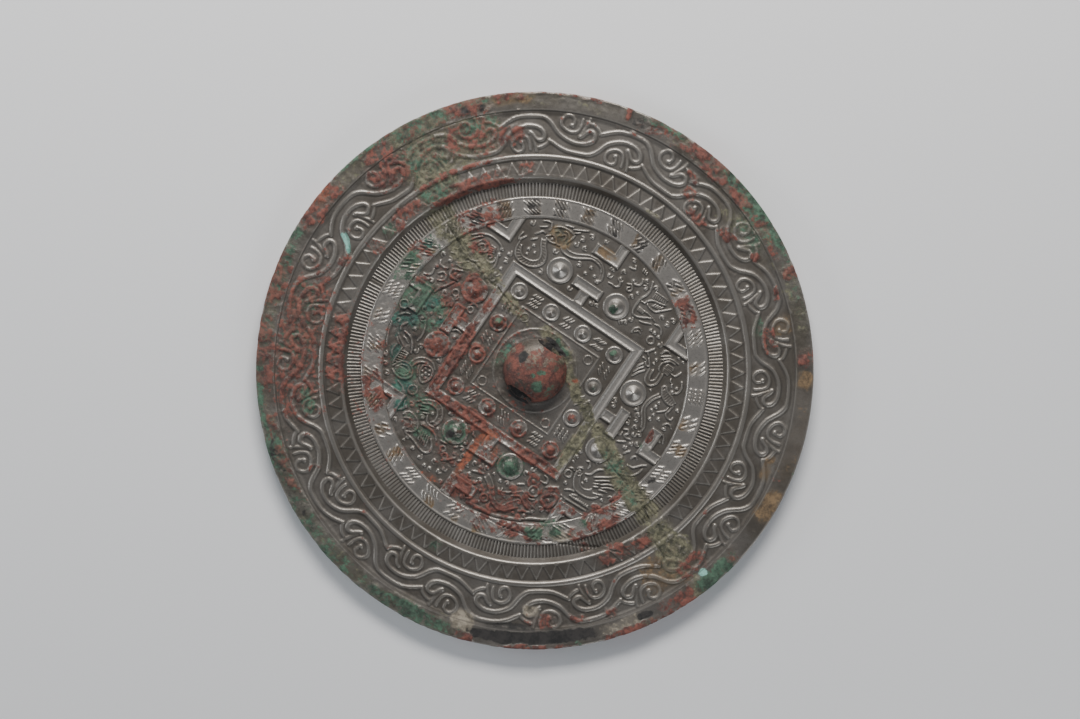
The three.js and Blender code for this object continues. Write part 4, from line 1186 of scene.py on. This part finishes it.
CURLS = [
    # dragon
    (-18.6, 40.6), (-31.3, 44.4), (-31.9, 30.2), (-31.4, 27.1), (-13.6, 46.8), (-12.4, 49.4), (-9.7, 52.2),
    (-10, 47.8), (-8.3, 41.1), (-6.7, 32.2), (-18.6, 30.9),
    # winged creature
    (20.4, 49.8), (15.7, 50.5), (7.2, 48.4), (7.2, 45.6), (11.7, 47.6), (16.9, 47.6), (14.6, 42.4), (28.2,
    42.4), (30.9, 40.8), (18.4, 35.1), (17.8, 33.2), (32.6, 33.3), (3.2, 46.7), (3, 44.4),
    # tiger
    (30.8, 7.3), (31.2, 5.2), (38.8, 8.9), (40.8, 7.6), (38.2, 5.6), (41, 5.4), (38.8, 2.8), (42.4, 3.4),
    (45, 1.6), (46, -1.4), (38.2, -1.6), (52.4, 3.9), (51.2, 8.5), (43, 0.8),
    # bird
    (30.4, -15.6), (41.2, -14.6), (38.4, -14.6), (30.6, -17.6), (50.8, -16.2), (52.6, -13.4), (49.6, -23.8),
    (47.6, -28.6), (51.2, -20.6), (44, -9.2),
    # serpent
    (19.4, -30.6), (18.6, -32.8), (5.6, -39.5), (3.2, -40.6), (-1.5, -42.4), (-4.2, -40.6), (1.2, -44.9),
    (-6.2, -45.4), (6, -45), (22.2, -43.9), (30.6, -41.4), (34.6, -33.8),
    # crested beast
    (-17, -30.6), (-6, -39.2), (-17.6, -50.2), (-12, -48), (-9, -50.4), (-30.4, -36), (-24.6, -37.6),
    (-35.4, -33.8), (-6.4, -36.6),
    # turtle
    (-38.8, 2.6), (-42, 1), (-44.6, -1.4), (-39.9, -3.4), (-43, 3.9), (-46.4, -3.4), (-45.2, -7.2), (-39.2,
    5.9), (-39.4, -16.2), (-40.6, -18.6), (-31.6, -16.8), (-49.2, -25.8), (-46.8, -28.8), (-44.6, -31.4),
    (-51.6, -12.8), (-52.2, -3.2),
    # horned beast
    (-32, 21.6), (-36.6, 19.4), (-38.6, 20.6), (-48.6, 16), (-49.6, 21.8), (-43.4, 5.6), (-51.6, 17),
    (-47.4, 25), (-49.8, 6),
]
print(len(RINGS), "rings,", len(DOTS), "dots,", len(CURLS), "curls")

# %% Draw the creatures
THREAD_HEIGHT = 0.55
BODY_HEIGHT = 0.26
CURL_PITCH = 2.7


def smooth_line(numbers):
    """A smooth chain through the places given by x and y in turn."""
    return smooth_chain(np.reshape(numbers, (-1, 2)))


def along_chain(chain, share):
    """The point at a share of a chain's length."""
    steps = np.hypot(*np.diff(chain, axis=0).T)
    length = np.concatenate([[0], np.cumsum(steps)])
    return np.array([np.interp(share * length[-1], length, chain[:, axis]) for axis in (0, 1)])


def draw_body(ground, rungs, outer, inner):
    """A low fill, a thread on each outline and rungs across."""
    corners = [tuple(point) for point in np.vstack([outer, inner[::-1]])]
    some = ground.near(np.array(corners), 0.5)
    depth = depth_inside(ground.x[some], ground.y[some], corners)
    ground.lift(some, BODY_HEIGHT * smoothstep(depth, -0.2, 0.3))
    for chain in (outer, inner):
        draw(ground, chain, 0.85, THREAD_HEIGHT, 0.2)
    draw_fan(ground, rungs, outer, inner)


def draw_fan(ground, count, one_side, other_side):
    """Short threads from one guide line to the other."""
    for number in range(count):
        share = (number + 0.5) / count
        ends = [along_chain(one_side, share), along_chain(other_side, share)]
        draw(ground, ends, 0.62, 0.46)


def draw_dot(ground, x, y, radius):
    draw(ground, [(x - 0.02, y), (x + 0.02, y)], 2 * radius, 0.2 + 0.45 * radius)


def draw_curl(ground, x, y, heading, size=1.0):
    """A small cloud curl: a round head and a tail that swings round it."""
    draw_dot(ground, x, y, 0.72 * size)
    turn = np.radians(heading + np.linspace(0, 150, 7))
    reach = size * np.linspace(0.5, 1.35, 7)
    tail = np.stack([x + reach * np.cos(turn), y + reach * np.sin(turn)], 1)
    draw(ground, tail, 0.72, 0.42, 0.3)


def fill_gaps(ground, draws):
    """Adds a curl wherever the field is still bare, as the mould cutter did."""
    steps = int(WRITING_INNER / CURL_PITCH) + 1
    for column, row in itertools.product(range(-steps, steps + 1), repeat=2):
        x = (column + 0.5 * (row % 2)) * CURL_PITCH + draws.uniform(-0.5, 0.5)
        y = row * CURL_PITCH + draws.uniform(-0.5, 0.5)
        heading, size = draws.uniform(0, 360), draws.uniform(0.7, 1.0)
        if math.hypot(x, y) > WRITING_INNER - 1.6 or max(abs(x), abs(y)) < FRAME_OUTER + 1.3:
            continue
        some = ground.near(np.array([(x, y)]), 1.6)
        close = np.hypot(ground.x[some] - x, ground.y[some] - y) < 1.35
        if ground.relief[some][close].max() < 0.05:
            draw_curl(ground, x, y, heading, size)


def draw_creatures(ground):
    for rungs, outer, inner in BODIES:
        draw_body(ground, rungs, smooth_line(outer), smooth_line(inner))
    for width, *numbers in THREADS:
        draw(ground, smooth_line(numbers), width, THREAD_HEIGHT, 0.3)
    for count, one_side, other_side in FANS:
        draw_fan(ground, count, smooth_line(one_side), smooth_line(other_side))
    for x, y, radius in RINGS:
        draw_ring(ground, x, y, radius, 0.75, 0.45)
    for x, y, radius in DOTS:
        draw_dot(ground, x, y, radius)
    draws = random.Random(5)
    for x, y in CURLS:
        draw_curl(ground, x, y, draws.uniform(0, 360))
    fill_gaps(ground, draws)


# %% The field
def on_field(x, y):
    return math.hypot(x, y) < WRITING_INNER and max(abs(x), abs(y)) > PATCH_EDGE - 0.1


def draw_field(ground):
    draw_tlv(ground)
    draw_creatures(ground)


carve(closed_patch("field", FIELD_HALF, on_field), flat(FIELD_GROUND), draw_field)

# %% The square and what it holds
SEAT_RADIUS = 15.6
SEAT_RISE = 0.33
INNER_LINE = 16.9
STUD_PITCH = 14.0
STUD_ROW = 1.5 * STUD_PITCH


def draw_square(ground):
    out = np.maximum(np.abs(ground.x), np.abs(ground.y))
    depth = np.minimum(out - FRAME_INNER, FRAME_OUTER - out)
    ground.relief = np.maximum(hollow(depth), 0)
    ground.polish = smoothstep(depth, 0.0, 0.6)
    draws = random.Random(11)
    for turn in range(4):
        draw_bar(ground, quarter_turns(T_STEM, turn))
        draw(ground, quarter_turns([(-INNER_LINE, INNER_LINE), (INNER_LINE, INNER_LINE)], turn), 0.8, 0.3)
        for x, y in quarter_turns([(along * STUD_PITCH, STUD_ROW) for along in (-1.5, -0.5, 0.5)], turn):
            draw_boss(ground, x, y, 3.15, 1.75, 1.5)
        for x, y in quarter_turns([(STUD_PITCH, STUD_PITCH)], turn):
            draw_ring(ground, x, y, 1.6)
        for x, y in quarter_turns([(along * STUD_PITCH, STUD_ROW) for along in (-1, 0, 1)], turn):
            draw_sign(ground, x, y, -90 * turn, 4.0, 5.4, draws)


def square_base(x, y):
    """Level, with a round seat for the knob that dips a little near its edge."""
    radius = np.hypot(x, y)
    seat = SEAT_RISE * smoothstep(SEAT_RADIUS - radius, -0.3, 0.3)
    seat = seat - 0.15 * smoothstep(radius, 12.0, 13.2) * smoothstep(SEAT_RADIUS - radius, 0.3, 1.4)
    return FIELD_GROUND + seat


carve(closed_patch("square", PATCH_EDGE, lambda x, y: True), square_base, draw_square)

# %% [markdown]
# ## The knob
#
# A thick dome stands in the middle, and a cord once ran through a hole under its crown. The dome is a
# profile wrapped round, the hole is an arch cut out of it with a Boolean, and a voxel remesh then gives
# one even skin, inside and out, that the corrosion can lift.

# %% The pierced knob
KNOB_RADIUS = 11.75
KNOB_SKIN = 0.3
HOLE_HALF_WIDTH = 4.8
HOLE_FLOOR = 3.0
HOLE_SPRING = 5.2
HOLE_CROWN = 8.3
KNOB_ROOT = 1.9
KNOB_TURNS = 96
HOLE_RISE = HOLE_CROWN - HOLE_SPRING
MOUTH_FLARE = 0.16


def dome():
    """The knob before it is pierced, round and a little squarer than half a ball."""
    rise = TALLEST - 0.25 - FIELD_GROUND
    profile = [(0.0, KNOB_ROOT), (KNOB_RADIUS, KNOB_ROOT)]
    for degrees in range(0, 91, 6):
        turn = math.radians(degrees)
        profile.append((KNOB_RADIUS * math.cos(turn) ** 0.86, FIELD_GROUND + rise * math.sin(turn) ** 0.96))
    profile[-1] = (0.0, profile[-1][1])
    return mesh_from(wrap(profile, KNOB_TURNS), "dome")


def arch():
    """The cord hole: a straight arch, wider at its two worn mouths."""
    shape = bmesh.new()
    bmesh.ops.create_grid(shape, x_segments=12, y_segments=1, size=1)
    upright = Matrix.Rotation(math.radians(90), 3, "X")
    bmesh.ops.rotate(shape, verts=shape.verts, matrix=upright, cent=(0, 0, 0))
    for vert in shape.verts:
        side = vert.co.x
        crown = math.sqrt(max(0.0, 1 - side**2)) * HOLE_RISE
        vert.co.z = HOLE_SPRING + crown if vert.co.z > 0 else HOLE_FLOOR
        vert.co.x = HOLE_HALF_WIDTH * side
    made = bmesh.ops.extrude_face_region(shape, geom=shape.faces[:])["geom"]
    verts = [part for part in made if isinstance(part, bmesh.types.BMVert)]
    bmesh.ops.translate(shape, verts=verts, vec=(0, 2 * KNOB_RADIUS, 0))
    long_edges = [edge for edge in shape.edges if edge.calc_length() > KNOB_RADIUS]
    bmesh.ops.subdivide_edges(shape, edges=long_edges, cuts=9, use_grid_fill=True)
    for vert in shape.verts:
        vert.co.y = (vert.co.y - KNOB_RADIUS) * 1.1
        flare = 1 + MOUTH_FLARE * smoothstep(abs(vert.co.y), 0.70 * KNOB_RADIUS, 1.05 * KNOB_RADIUS)
        vert.co.x *= flare
        vert.co.z = HOLE_FLOOR + (vert.co.z - HOLE_FLOOR) * flare
    return mesh_from(shape, "arch")


def pierced_dome():
    """The dome with the arch cut out of it, under one even and slightly worn skin."""
    block, cutter = (bpy.data.objects.new(mesh.name, mesh) for mesh in (dome(), arch()))
    for part in (block, cutter):
        bpy.context.collection.objects.link(part)
    cut = block.modifiers.new("cord hole", "BOOLEAN")
    cut.operation = "DIFFERENCE"
    cut.solver = "EXACT"
    cut.object = cutter
    skin = block.modifiers.new("even skin", "REMESH")
    skin.mode = "VOXEL"
    skin.voxel_size = KNOB_SKIN
    soft = block.modifiers.new("worn", "SMOOTH")
    soft.factor = 0.5
    soft.iterations = 3
    graph = bpy.context.evaluated_depsgraph_get()
    mesh = bpy.data.meshes.new_from_object(block.evaluated_get(graph))
    for part in (block, cutter):
        bpy.data.objects.remove(part)
    mesh.name = "knob"
    return mesh


# %% Weather the knob, with painted shade and light
def make_knob():
    """Crust on the skin, painted shade in the cord hole, and red that thins to a pale mottle, partly painted
    light, toward the lamp.
    """
    mesh = pierced_dome()
    places = read(mesh, "co")
    x, y, z = places.T
    lift = 0.10 * crust(x, y, z, 5.0, 81, 4) + 0.10 * np.clip(crust(x, y, z, 1.6, 91, 3), 0, 1)
    places += read(mesh, "normal") * (lift - 0.04)[:, None]
    places[:, 2] = np.minimum(places[:, 2], TALLEST - 0.02)
    # Painted shade: the inside of the cord hole gets the dark stain.
    arched = HOLE_SPRING + np.sqrt(np.clip(1 - (x / HOLE_HALF_WIDTH) ** 2, 0, 1)) * HOLE_RISE
    in_hole = (np.abs(x) < HOLE_HALF_WIDTH + 0.5) & (z < arched + 0.35)
    in_hole &= (z > HOLE_FLOOR - 0.3) & (np.hypot(x, y) < KNOB_RADIUS - 0.3)
    red_left = 1 - smoothstep(np.hypot((x + 6.6) / 3.4, (y - 8.2) / 2.6), 1.5, 0.7)
    # Painted light: on the side toward the lamp the red thins to a pale mottle, which is partly pale crust.
    turn = math.radians(PICTURE_TURN)
    upper = smoothstep((y * math.cos(turn) - x * math.sin(turn)) / KNOB_RADIUS, -0.15, 0.45)
    pale_mottle_and_painted_light = upper * smoothstep(crust(x, y, z, 2.4, 101, 3), -0.5, 0.2) * red_left
    finish(mesh, places, dark=1.7 * in_hole, red=1.15 * red_left * (1 - 0.34 * pale_mottle_and_painted_light), pale=1.1 * pale_mottle_and_painted_light)


make_knob()

# %% [markdown]
# ## Patina, metal and painted shade
#
# The material lays the stains of the map over tin-rich bronze. A soft stain would look airbrushed, so a
# node group breaks each one up: it adds fine noise to the cover and cuts it off sharply, which gives the
# flaky edge of real corrosion. A second group lightens the crests, partly as wear and partly as a painted
# highlight, and paints shade into the hollows, from the form that was measured on the mesh. Both read mm
# on the mirror itself, so nothing slides when it is turned.

# %% Node helpers
def new_group(name, inputs, outputs):
    """An empty node group with named sockets, its two end nodes and its tree."""
    tree = bpy.data.node_groups.new(name, "ShaderNodeTree")
    for key, (kind, value) in inputs.items():
        socket = tree.interface.new_socket(name=key, in_out="INPUT", socket_type=kind)
        if value is not None:
            socket.default_value = value
    for key, kind in outputs.items():
        tree.interface.new_socket(name=key, in_out="OUTPUT", socket_type=kind)
    return tree, tree.nodes.new("NodeGroupInput"), tree.nodes.new("NodeGroupOutput")


def plug(tree, socket, value):
    """Links an output to a socket, or sets the socket's own value."""
    if isinstance(value, bpy.types.NodeSocket):
        tree.links.new(value, socket)
    else:
        socket.default_value = value


def math_node(tree, operation, a, b):
    node = tree.nodes.new("ShaderNodeMath")
    node.operation = operation
    plug(tree, node.inputs[0], a)
    plug(tree, node.inputs[1], b)
    return node.outputs[0]


def plus(tree, a, b):
    return math_node(tree, "ADD", a, b)


def minus(tree, a, b):
    return math_node(tree, "SUBTRACT", a, b)


def times(tree, a, b):
    return math_node(tree, "MULTIPLY", a, b)


def remap(tree, value, low_in, high_in, low_out=0.0, high_out=1.0):
    """Maps low_in to high_in onto low_out to high_out, smoothly."""
    node = tree.nodes.new("ShaderNodeMapRange")
    node.interpolation_type = "SMOOTHSTEP"
    limits = {"Value": value, "From Min": low_in, "From Max": high_in, "To Min": low_out, "To Max": high_out}
    for key, given in limits.items():
        plug(tree, node.inputs[key], given)
    return node.outputs["Result"]


def mix_colour(tree, share, a, b):
    node = tree.nodes.new("ShaderNodeMix")
    node.data_type = "RGBA"
    for key, given in ((0, share), (6, a), (7, b)):
        plug(tree, node.inputs[key], given)
    return node.outputs[2]


def mix_value(tree, share, a, b):
    node = tree.nodes.new("ShaderNodeMix")
    for key, given in ((0, share), (2, a), (3, b)):
        plug(tree, node.inputs[key], given)
    return node.outputs[0]


def noise(tree, place, per_mm, detail=5.0, roughness=0.6):
    node = tree.nodes.new("ShaderNodeTexNoise")
    plug(tree, node.inputs["Vector"], place)
    plug(tree, node.inputs["Scale"], per_mm)
    node.inputs["Detail"].default_value = detail
    node.inputs["Roughness"].default_value = roughness
    return node.outputs["Fac"]


# %% Node group that breaks a stain into flakes
flakes, given, result = new_group(
    "flakes",
    {"Place": ("NodeSocketVector", None), "Cover": ("NodeSocketFloat", 0.5),
     "Scale": ("NodeSocketFloat", 1.0), "Edge": ("NodeSocketFloat", 0.14)},
    {"Mask": "NodeSocketFloat"})
spot, cover, scale, edge = (given.outputs[key] for key in ("Place", "Cover", "Scale", "Edge"))
fine_part = times(flakes, noise(flakes, spot, scale, 7.0, 0.72), 0.6)
broad_part = times(flakes, noise(flakes, spot, times(flakes, scale, 0.3), 3.0, 0.6), 0.4)
spread = times(flakes, minus(flakes, plus(flakes, fine_part, broad_part), 0.5), 3.4)
total = plus(flakes, times(flakes, cover, 0.78), spread)
flaked = remap(flakes, total, minus(flakes, 0.5, edge), plus(flakes, 0.5, edge))
present = remap(flakes, cover, 0.02, 0.25)
flakes.links.new(times(flakes, flaked, present), result.inputs["Mask"])
print("node group", flakes.name)

# %% Node group of bare tin bronze
bare, given, result = new_group(
    "bare bronze",
    {"Place": ("NodeSocketVector", None), "Crest": ("NodeSocketFloat", 0.0),
     "Hollow": ("NodeSocketFloat", 0.0), "Polish": ("NodeSocketFloat", 0.0)},
    {"Colour": "NodeSocketColor", "Roughness": "NodeSocketFloat", "Metal": "NodeSocketFloat"})
spot, high, deep, shine = (given.outputs[key] for key in ("Place", "Crest", "Hollow", "Polish"))
cloudy = noise(bare, spot, 0.07, 7.0, 0.62)
speckle = noise(bare, spot, 1.4, 5.0, 0.75)
pitted = remap(bare, noise(bare, spot, 2.2, 3.0, 0.65), 0.60, 0.74, 0.0, 0.5)
grey = mix_colour(bare, remap(bare, cloudy, 0.38, 0.62), (0.118, 0.105, 0.090, 1), (0.180, 0.167, 0.152, 1))
silver = mix_colour(bare, shine, grey, (0.44, 0.415, 0.385, 1))
dusty = mix_colour(bare, remap(bare, speckle, 0.50, 0.72, 0.0, 0.5), silver, (0.085, 0.076, 0.066, 1))
pocked = mix_colour(bare, pitted, dusty, (0.055, 0.050, 0.045, 1))
# Crests are lightened, partly as worn metal and partly as a painted highlight.
worn = mix_colour(bare, remap(bare, high, 0.3, 1.0, 0.0, 0.45), pocked, (0.42, 0.395, 0.36, 1))
# Painted shade: the hollows of the relief are darkened.
painted_hollow_shade = mix_colour(bare, remap(bare, deep, 0.1, 1.0, 0.0, 0.55), worn, (0.060, 0.056, 0.052, 1))
bare.links.new(painted_hollow_shade, result.inputs["Colour"])
matt = mix_value(bare, remap(bare, speckle, 0.4, 0.7), 0.40, 0.58)
rough = mix_value(bare, shine, matt, 0.34)
rough = mix_value(bare, remap(bare, high, 0.2, 1.0, 0.0, 0.6), rough, 0.28)
rough = mix_value(bare, deep, rough, 0.7)
bare.links.new(rough, result.inputs["Roughness"])
bare.links.new(remap(bare, shine, 0.0, 1.0, 0.72, 0.85), result.inputs["Metal"])
print("node group", bare.name)

# %% The bronze and its stains
patina.use_nodes = True
tree = patina.node_tree
tree.nodes.clear()
output = tree.nodes.new("ShaderNodeOutputMaterial")
surface = tree.nodes.new("ShaderNodeBsdfPrincipled")
tree.links.new(surface.outputs["BSDF"], output.inputs["Surface"])

coordinates = tree.nodes.new("ShaderNodeTexCoord")
in_mm = tree.nodes.new("ShaderNodeMapping")
in_mm.inputs["Scale"].default_value = (1 / MM, 1 / MM, 1 / MM)
tree.links.new(coordinates.outputs["Object"], in_mm.inputs["Vector"])
on_mirror = in_mm.outputs["Vector"]


def attribute(name):
    node = tree.nodes.new("ShaderNodeAttribute")
    node.attribute_name = name
    return node.outputs["Fac"]


def use_group(group, **inputs):
    node = tree.nodes.new("ShaderNodeGroup")
    node.node_tree = group
    plug(tree, node.inputs["Place"], on_mirror)
    for key, value in inputs.items():
        plug(tree, node.inputs[key.title()], value)
    return node


crest, dip = attribute("crest"), attribute("hollow")
metal = use_group(bare, crest=crest, hollow=dip, polish=attribute("polish"))
print("coordinates in mm and", metal.node_tree.name)

# %% Lay the stains over the bronze
# kind: tint of the metal under it, dull colour, lively colour, flakes per mm, more on crests, more in hollows
STAIN_LOOKS = {
    "pale": ((0.28, 0.245, 0.195, 1), (0.16, 0.138, 0.105, 1), (0.34, 0.30, 0.235, 1), 0.45, 0.0, 0.0),
    "ochre": ((0.17, 0.120, 0.068, 1), (0.070, 0.048, 0.028, 1), (0.21, 0.140, 0.074, 1), 0.45, -0.15, 0.20),
    "earth": ((0.125, 0.117, 0.077, 1), (0.050, 0.050, 0.032, 1), (0.190, 0.180, 0.115, 1), 0.6, -0.12, 0.30),
    "red": ((0.092, 0.058, 0.047, 1), (0.066, 0.029, 0.025, 1), (0.215, 0.074, 0.054, 1), 0.8, 0.20, -0.18),
    "green": ((0.078, 0.090, 0.064, 1), (0.020, 0.036, 0.025, 1), (0.075, 0.145, 0.095, 1), 0.7, -0.20, 0.15),
    "teal": ((0.068, 0.088, 0.078, 1), (0.014, 0.046, 0.040, 1), (0.044, 0.155, 0.115, 1), 0.6, -0.60, 0.25),
    "dark": ((0.040, 0.037, 0.035, 1), (0.011, 0.011, 0.011, 1), (0.032, 0.029, 0.028, 1), 0.30, -0.25, 0.10),
    "turquoise": ((0.12, 0.17, 0.15, 1), (0.10, 0.26, 0.22, 1), (0.27, 0.56, 0.48, 1), 0.9, 0.0, 0.1),
    "rust": ((0.20, 0.09, 0.058, 1), (0.13, 0.045, 0.030, 1), (0.33, 0.100, 0.052, 1), 0.8, 0.0, 0.0),
}
tone = noise(tree, on_mirror, 0.7, 7.0, 0.75)
patchy = noise(tree, on_mirror, 0.22, 6.0, 0.7)
patches = remap(tree, patchy, 0.35, 0.6, 0.45, 1.0)
liveliness = plus(tree, times(tree, tone, 0.45), times(tree, patchy, 0.55))
lively_share = remap(tree, liveliness, 0.41, 0.58)
colour = metal.outputs["Colour"]
covered = 0.0
for kind, (tint, dull, lively, scale, on_crest, in_hollow) in STAIN_LOOKS.items():
    amount = attribute(kind)
    shift = plus(tree, times(tree, crest, on_crest), times(tree, dip, in_hollow))
    present = math_node(tree, "GREATER_THAN", amount, 0.02)
    here = plus(tree, amount, times(tree, shift, present))
    mask = use_group(flakes, cover=here, scale=scale).outputs["Mask"]
    haze = times(tree, remap(tree, amount, 0.0, 1.0, 0.0, 0.75), patches)
    paint = mix_colour(tree, lively_share, dull, lively)
    colour = mix_colour(tree, mask, mix_colour(tree, haze, colour, tint), paint)
    hidden = math_node(tree, "MAXIMUM", mask, times(tree, haze, 0.6))
    covered = math_node(tree, "MAXIMUM", covered, hidden)
print(len(STAIN_LOOKS), "kinds of stain")

# %% Painted shade, metal and fine grain
fine = remap(tree, noise(tree, on_mirror, 2.6, 4.0, 0.75), 0.50, 0.76, 0.0, 0.45)
shade = mix_colour(tree, fine, colour, (0.045, 0.040, 0.037, 1))
# Painted shade: hollows in the crust are darkened.
painted_crust_shade = remap(tree, times(tree, dip, covered), 0.1, 1.0, 0.0, 0.55)
shade = mix_colour(tree, painted_crust_shade, shade, (0.035, 0.032, 0.028, 1))
plug(tree, surface.inputs["Base Color"], shade)
plug(tree, surface.inputs["Metallic"], times(tree, metal.outputs["Metal"], minus(tree, 1.0, covered)))
plug(tree, surface.inputs["Roughness"], mix_value(tree, covered, metal.outputs["Roughness"], 0.72))


def bump(height, strength, distance, below=None):
    """Tilts the normals as if the surface rose by a height of at most the distance."""
    node = tree.nodes.new("ShaderNodeBump")
    plug(tree, node.inputs["Height"], height)
    plug(tree, node.inputs["Strength"], strength)
    plug(tree, node.inputs["Distance"], distance)
    if below is not None:
        plug(tree, node.inputs["Normal"], below)
    return node.outputs["Normal"]


lumps = times(tree, attribute("crusted"), noise(tree, on_mirror, 0.75, 5.0, 0.72))
lumpy = bump(lumps, 0.7, 0.40 * MM)
plug(tree, surface.inputs["Normal"], bump(noise(tree, on_mirror, 2.2, 6.0, 0.75), 0.75, 0.06 * MM, lumpy))
print("material", patina.name, len(tree.nodes), "nodes")

# %% [markdown]
# ## The bare frame steps aside
#
# The carved pieces stand where the imported solid was, inside its box. The frame's own node is replaced by
# them, so it isn't drawn a second time.

# %% Replace the frame's solid
for piece in pieces:
    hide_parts("mirror")
print(len(pieces), "pieces,", sum(len(piece.data.polygons) for piece in pieces), "faces")

# %% [markdown]
# ## Table, light and camera
#
# The mirror lies on its polished face on a pale plain surface. The photograph shows its carved back
# square on, so the camera looks straight down, turned so that the picture's left and right match. The
# main light is wide and low from the picture's top: a raking light is what makes shallow relief read.

# %% The surface
TABLE_SIZE = 3.0


def table():
    """A square plane larger than the view, at the height of the polished face."""
    shape = bmesh.new()
    bmesh.ops.create_grid(shape, x_segments=1, y_segments=1, size=TABLE_SIZE)
    mesh = bpy.data.meshes.new("table")
    shape.to_mesh(mesh)
    shape.free()
    piece = bpy.data.objects.new("table", mesh)
    bpy.context.collection.objects.link(piece)
    board = bpy.data.materials.new("pale surface")
    board.use_nodes = True
    look = board.node_tree.nodes["Principled BSDF"].inputs
    look["Base Color"].default_value = (0.80, 0.81, 0.83, 1)
    look["Roughness"].default_value = 0.85
    piece.data.materials.append(board)


table()
print("table", 2 * TABLE_SIZE, "m across")

# %% World and lights
def area_light(name, picture_angle, rise, distance, size, watts, colour):
    """A soft lamp, placed by the picture angle it shines from and its rise above the table."""
    lamp = bpy.data.lights.new(name, "AREA")
    lamp.shape = "RECTANGLE"
    lamp.size, lamp.size_y = size
    lamp.energy = watts
    lamp.color = colour
    holder = bpy.data.objects.new(name, lamp)
    turn = math.radians(picture_angle + PICTURE_TURN)
    tilt = math.radians(rise)
    aim = Vector((math.cos(turn) * math.cos(tilt), math.sin(turn) * math.cos(tilt), math.sin(tilt)))
    holder.location = aim * distance
    holder.rotation_euler = aim.to_track_quat("Z", "Y").to_euler()
    bpy.context.collection.objects.link(holder)


area_light("main from the top", 88, 36, 0.85, (0.6, 0.22), 9.9, (1.0, 0.97, 0.93))
area_light("left rim", 172, 20, 0.9, (0.5, 0.2), 2.6, (0.94, 0.97, 1.0))
area_light("low right", 300, 25, 0.8, (0.7, 0.35), 2.3, (0.95, 0.98, 1.0))
world = bpy.data.worlds.new("studio")
world.use_nodes = True
sky = world.node_tree.nodes["Background"].inputs
sky["Color"].default_value = (0.60, 0.63, 0.68, 1)
sky["Strength"].default_value = 0.24
bpy.context.scene.world = world
print("three lamps and", world.name)

# %% Camera straight above
RIGHT, UP, ABOVE = 1.83 * MM, 4.04 * MM, 0.9405  # m from the knob's foot to the camera, as in the picture
camera = bpy.data.cameras.new("camera")
camera.lens = 85
camera.sensor_width = 36
viewer = bpy.data.objects.new("camera", camera)
turn = math.radians(PICTURE_TURN)
c, s = math.cos(turn), math.sin(turn)
viewer.location = (RIGHT * c - UP * s, RIGHT * s + UP * c, ABOVE)
viewer.rotation_euler = (0, 0, turn)
bpy.context.collection.objects.link(viewer)
bpy.context.scene.camera = viewer
print("camera at", viewer.location)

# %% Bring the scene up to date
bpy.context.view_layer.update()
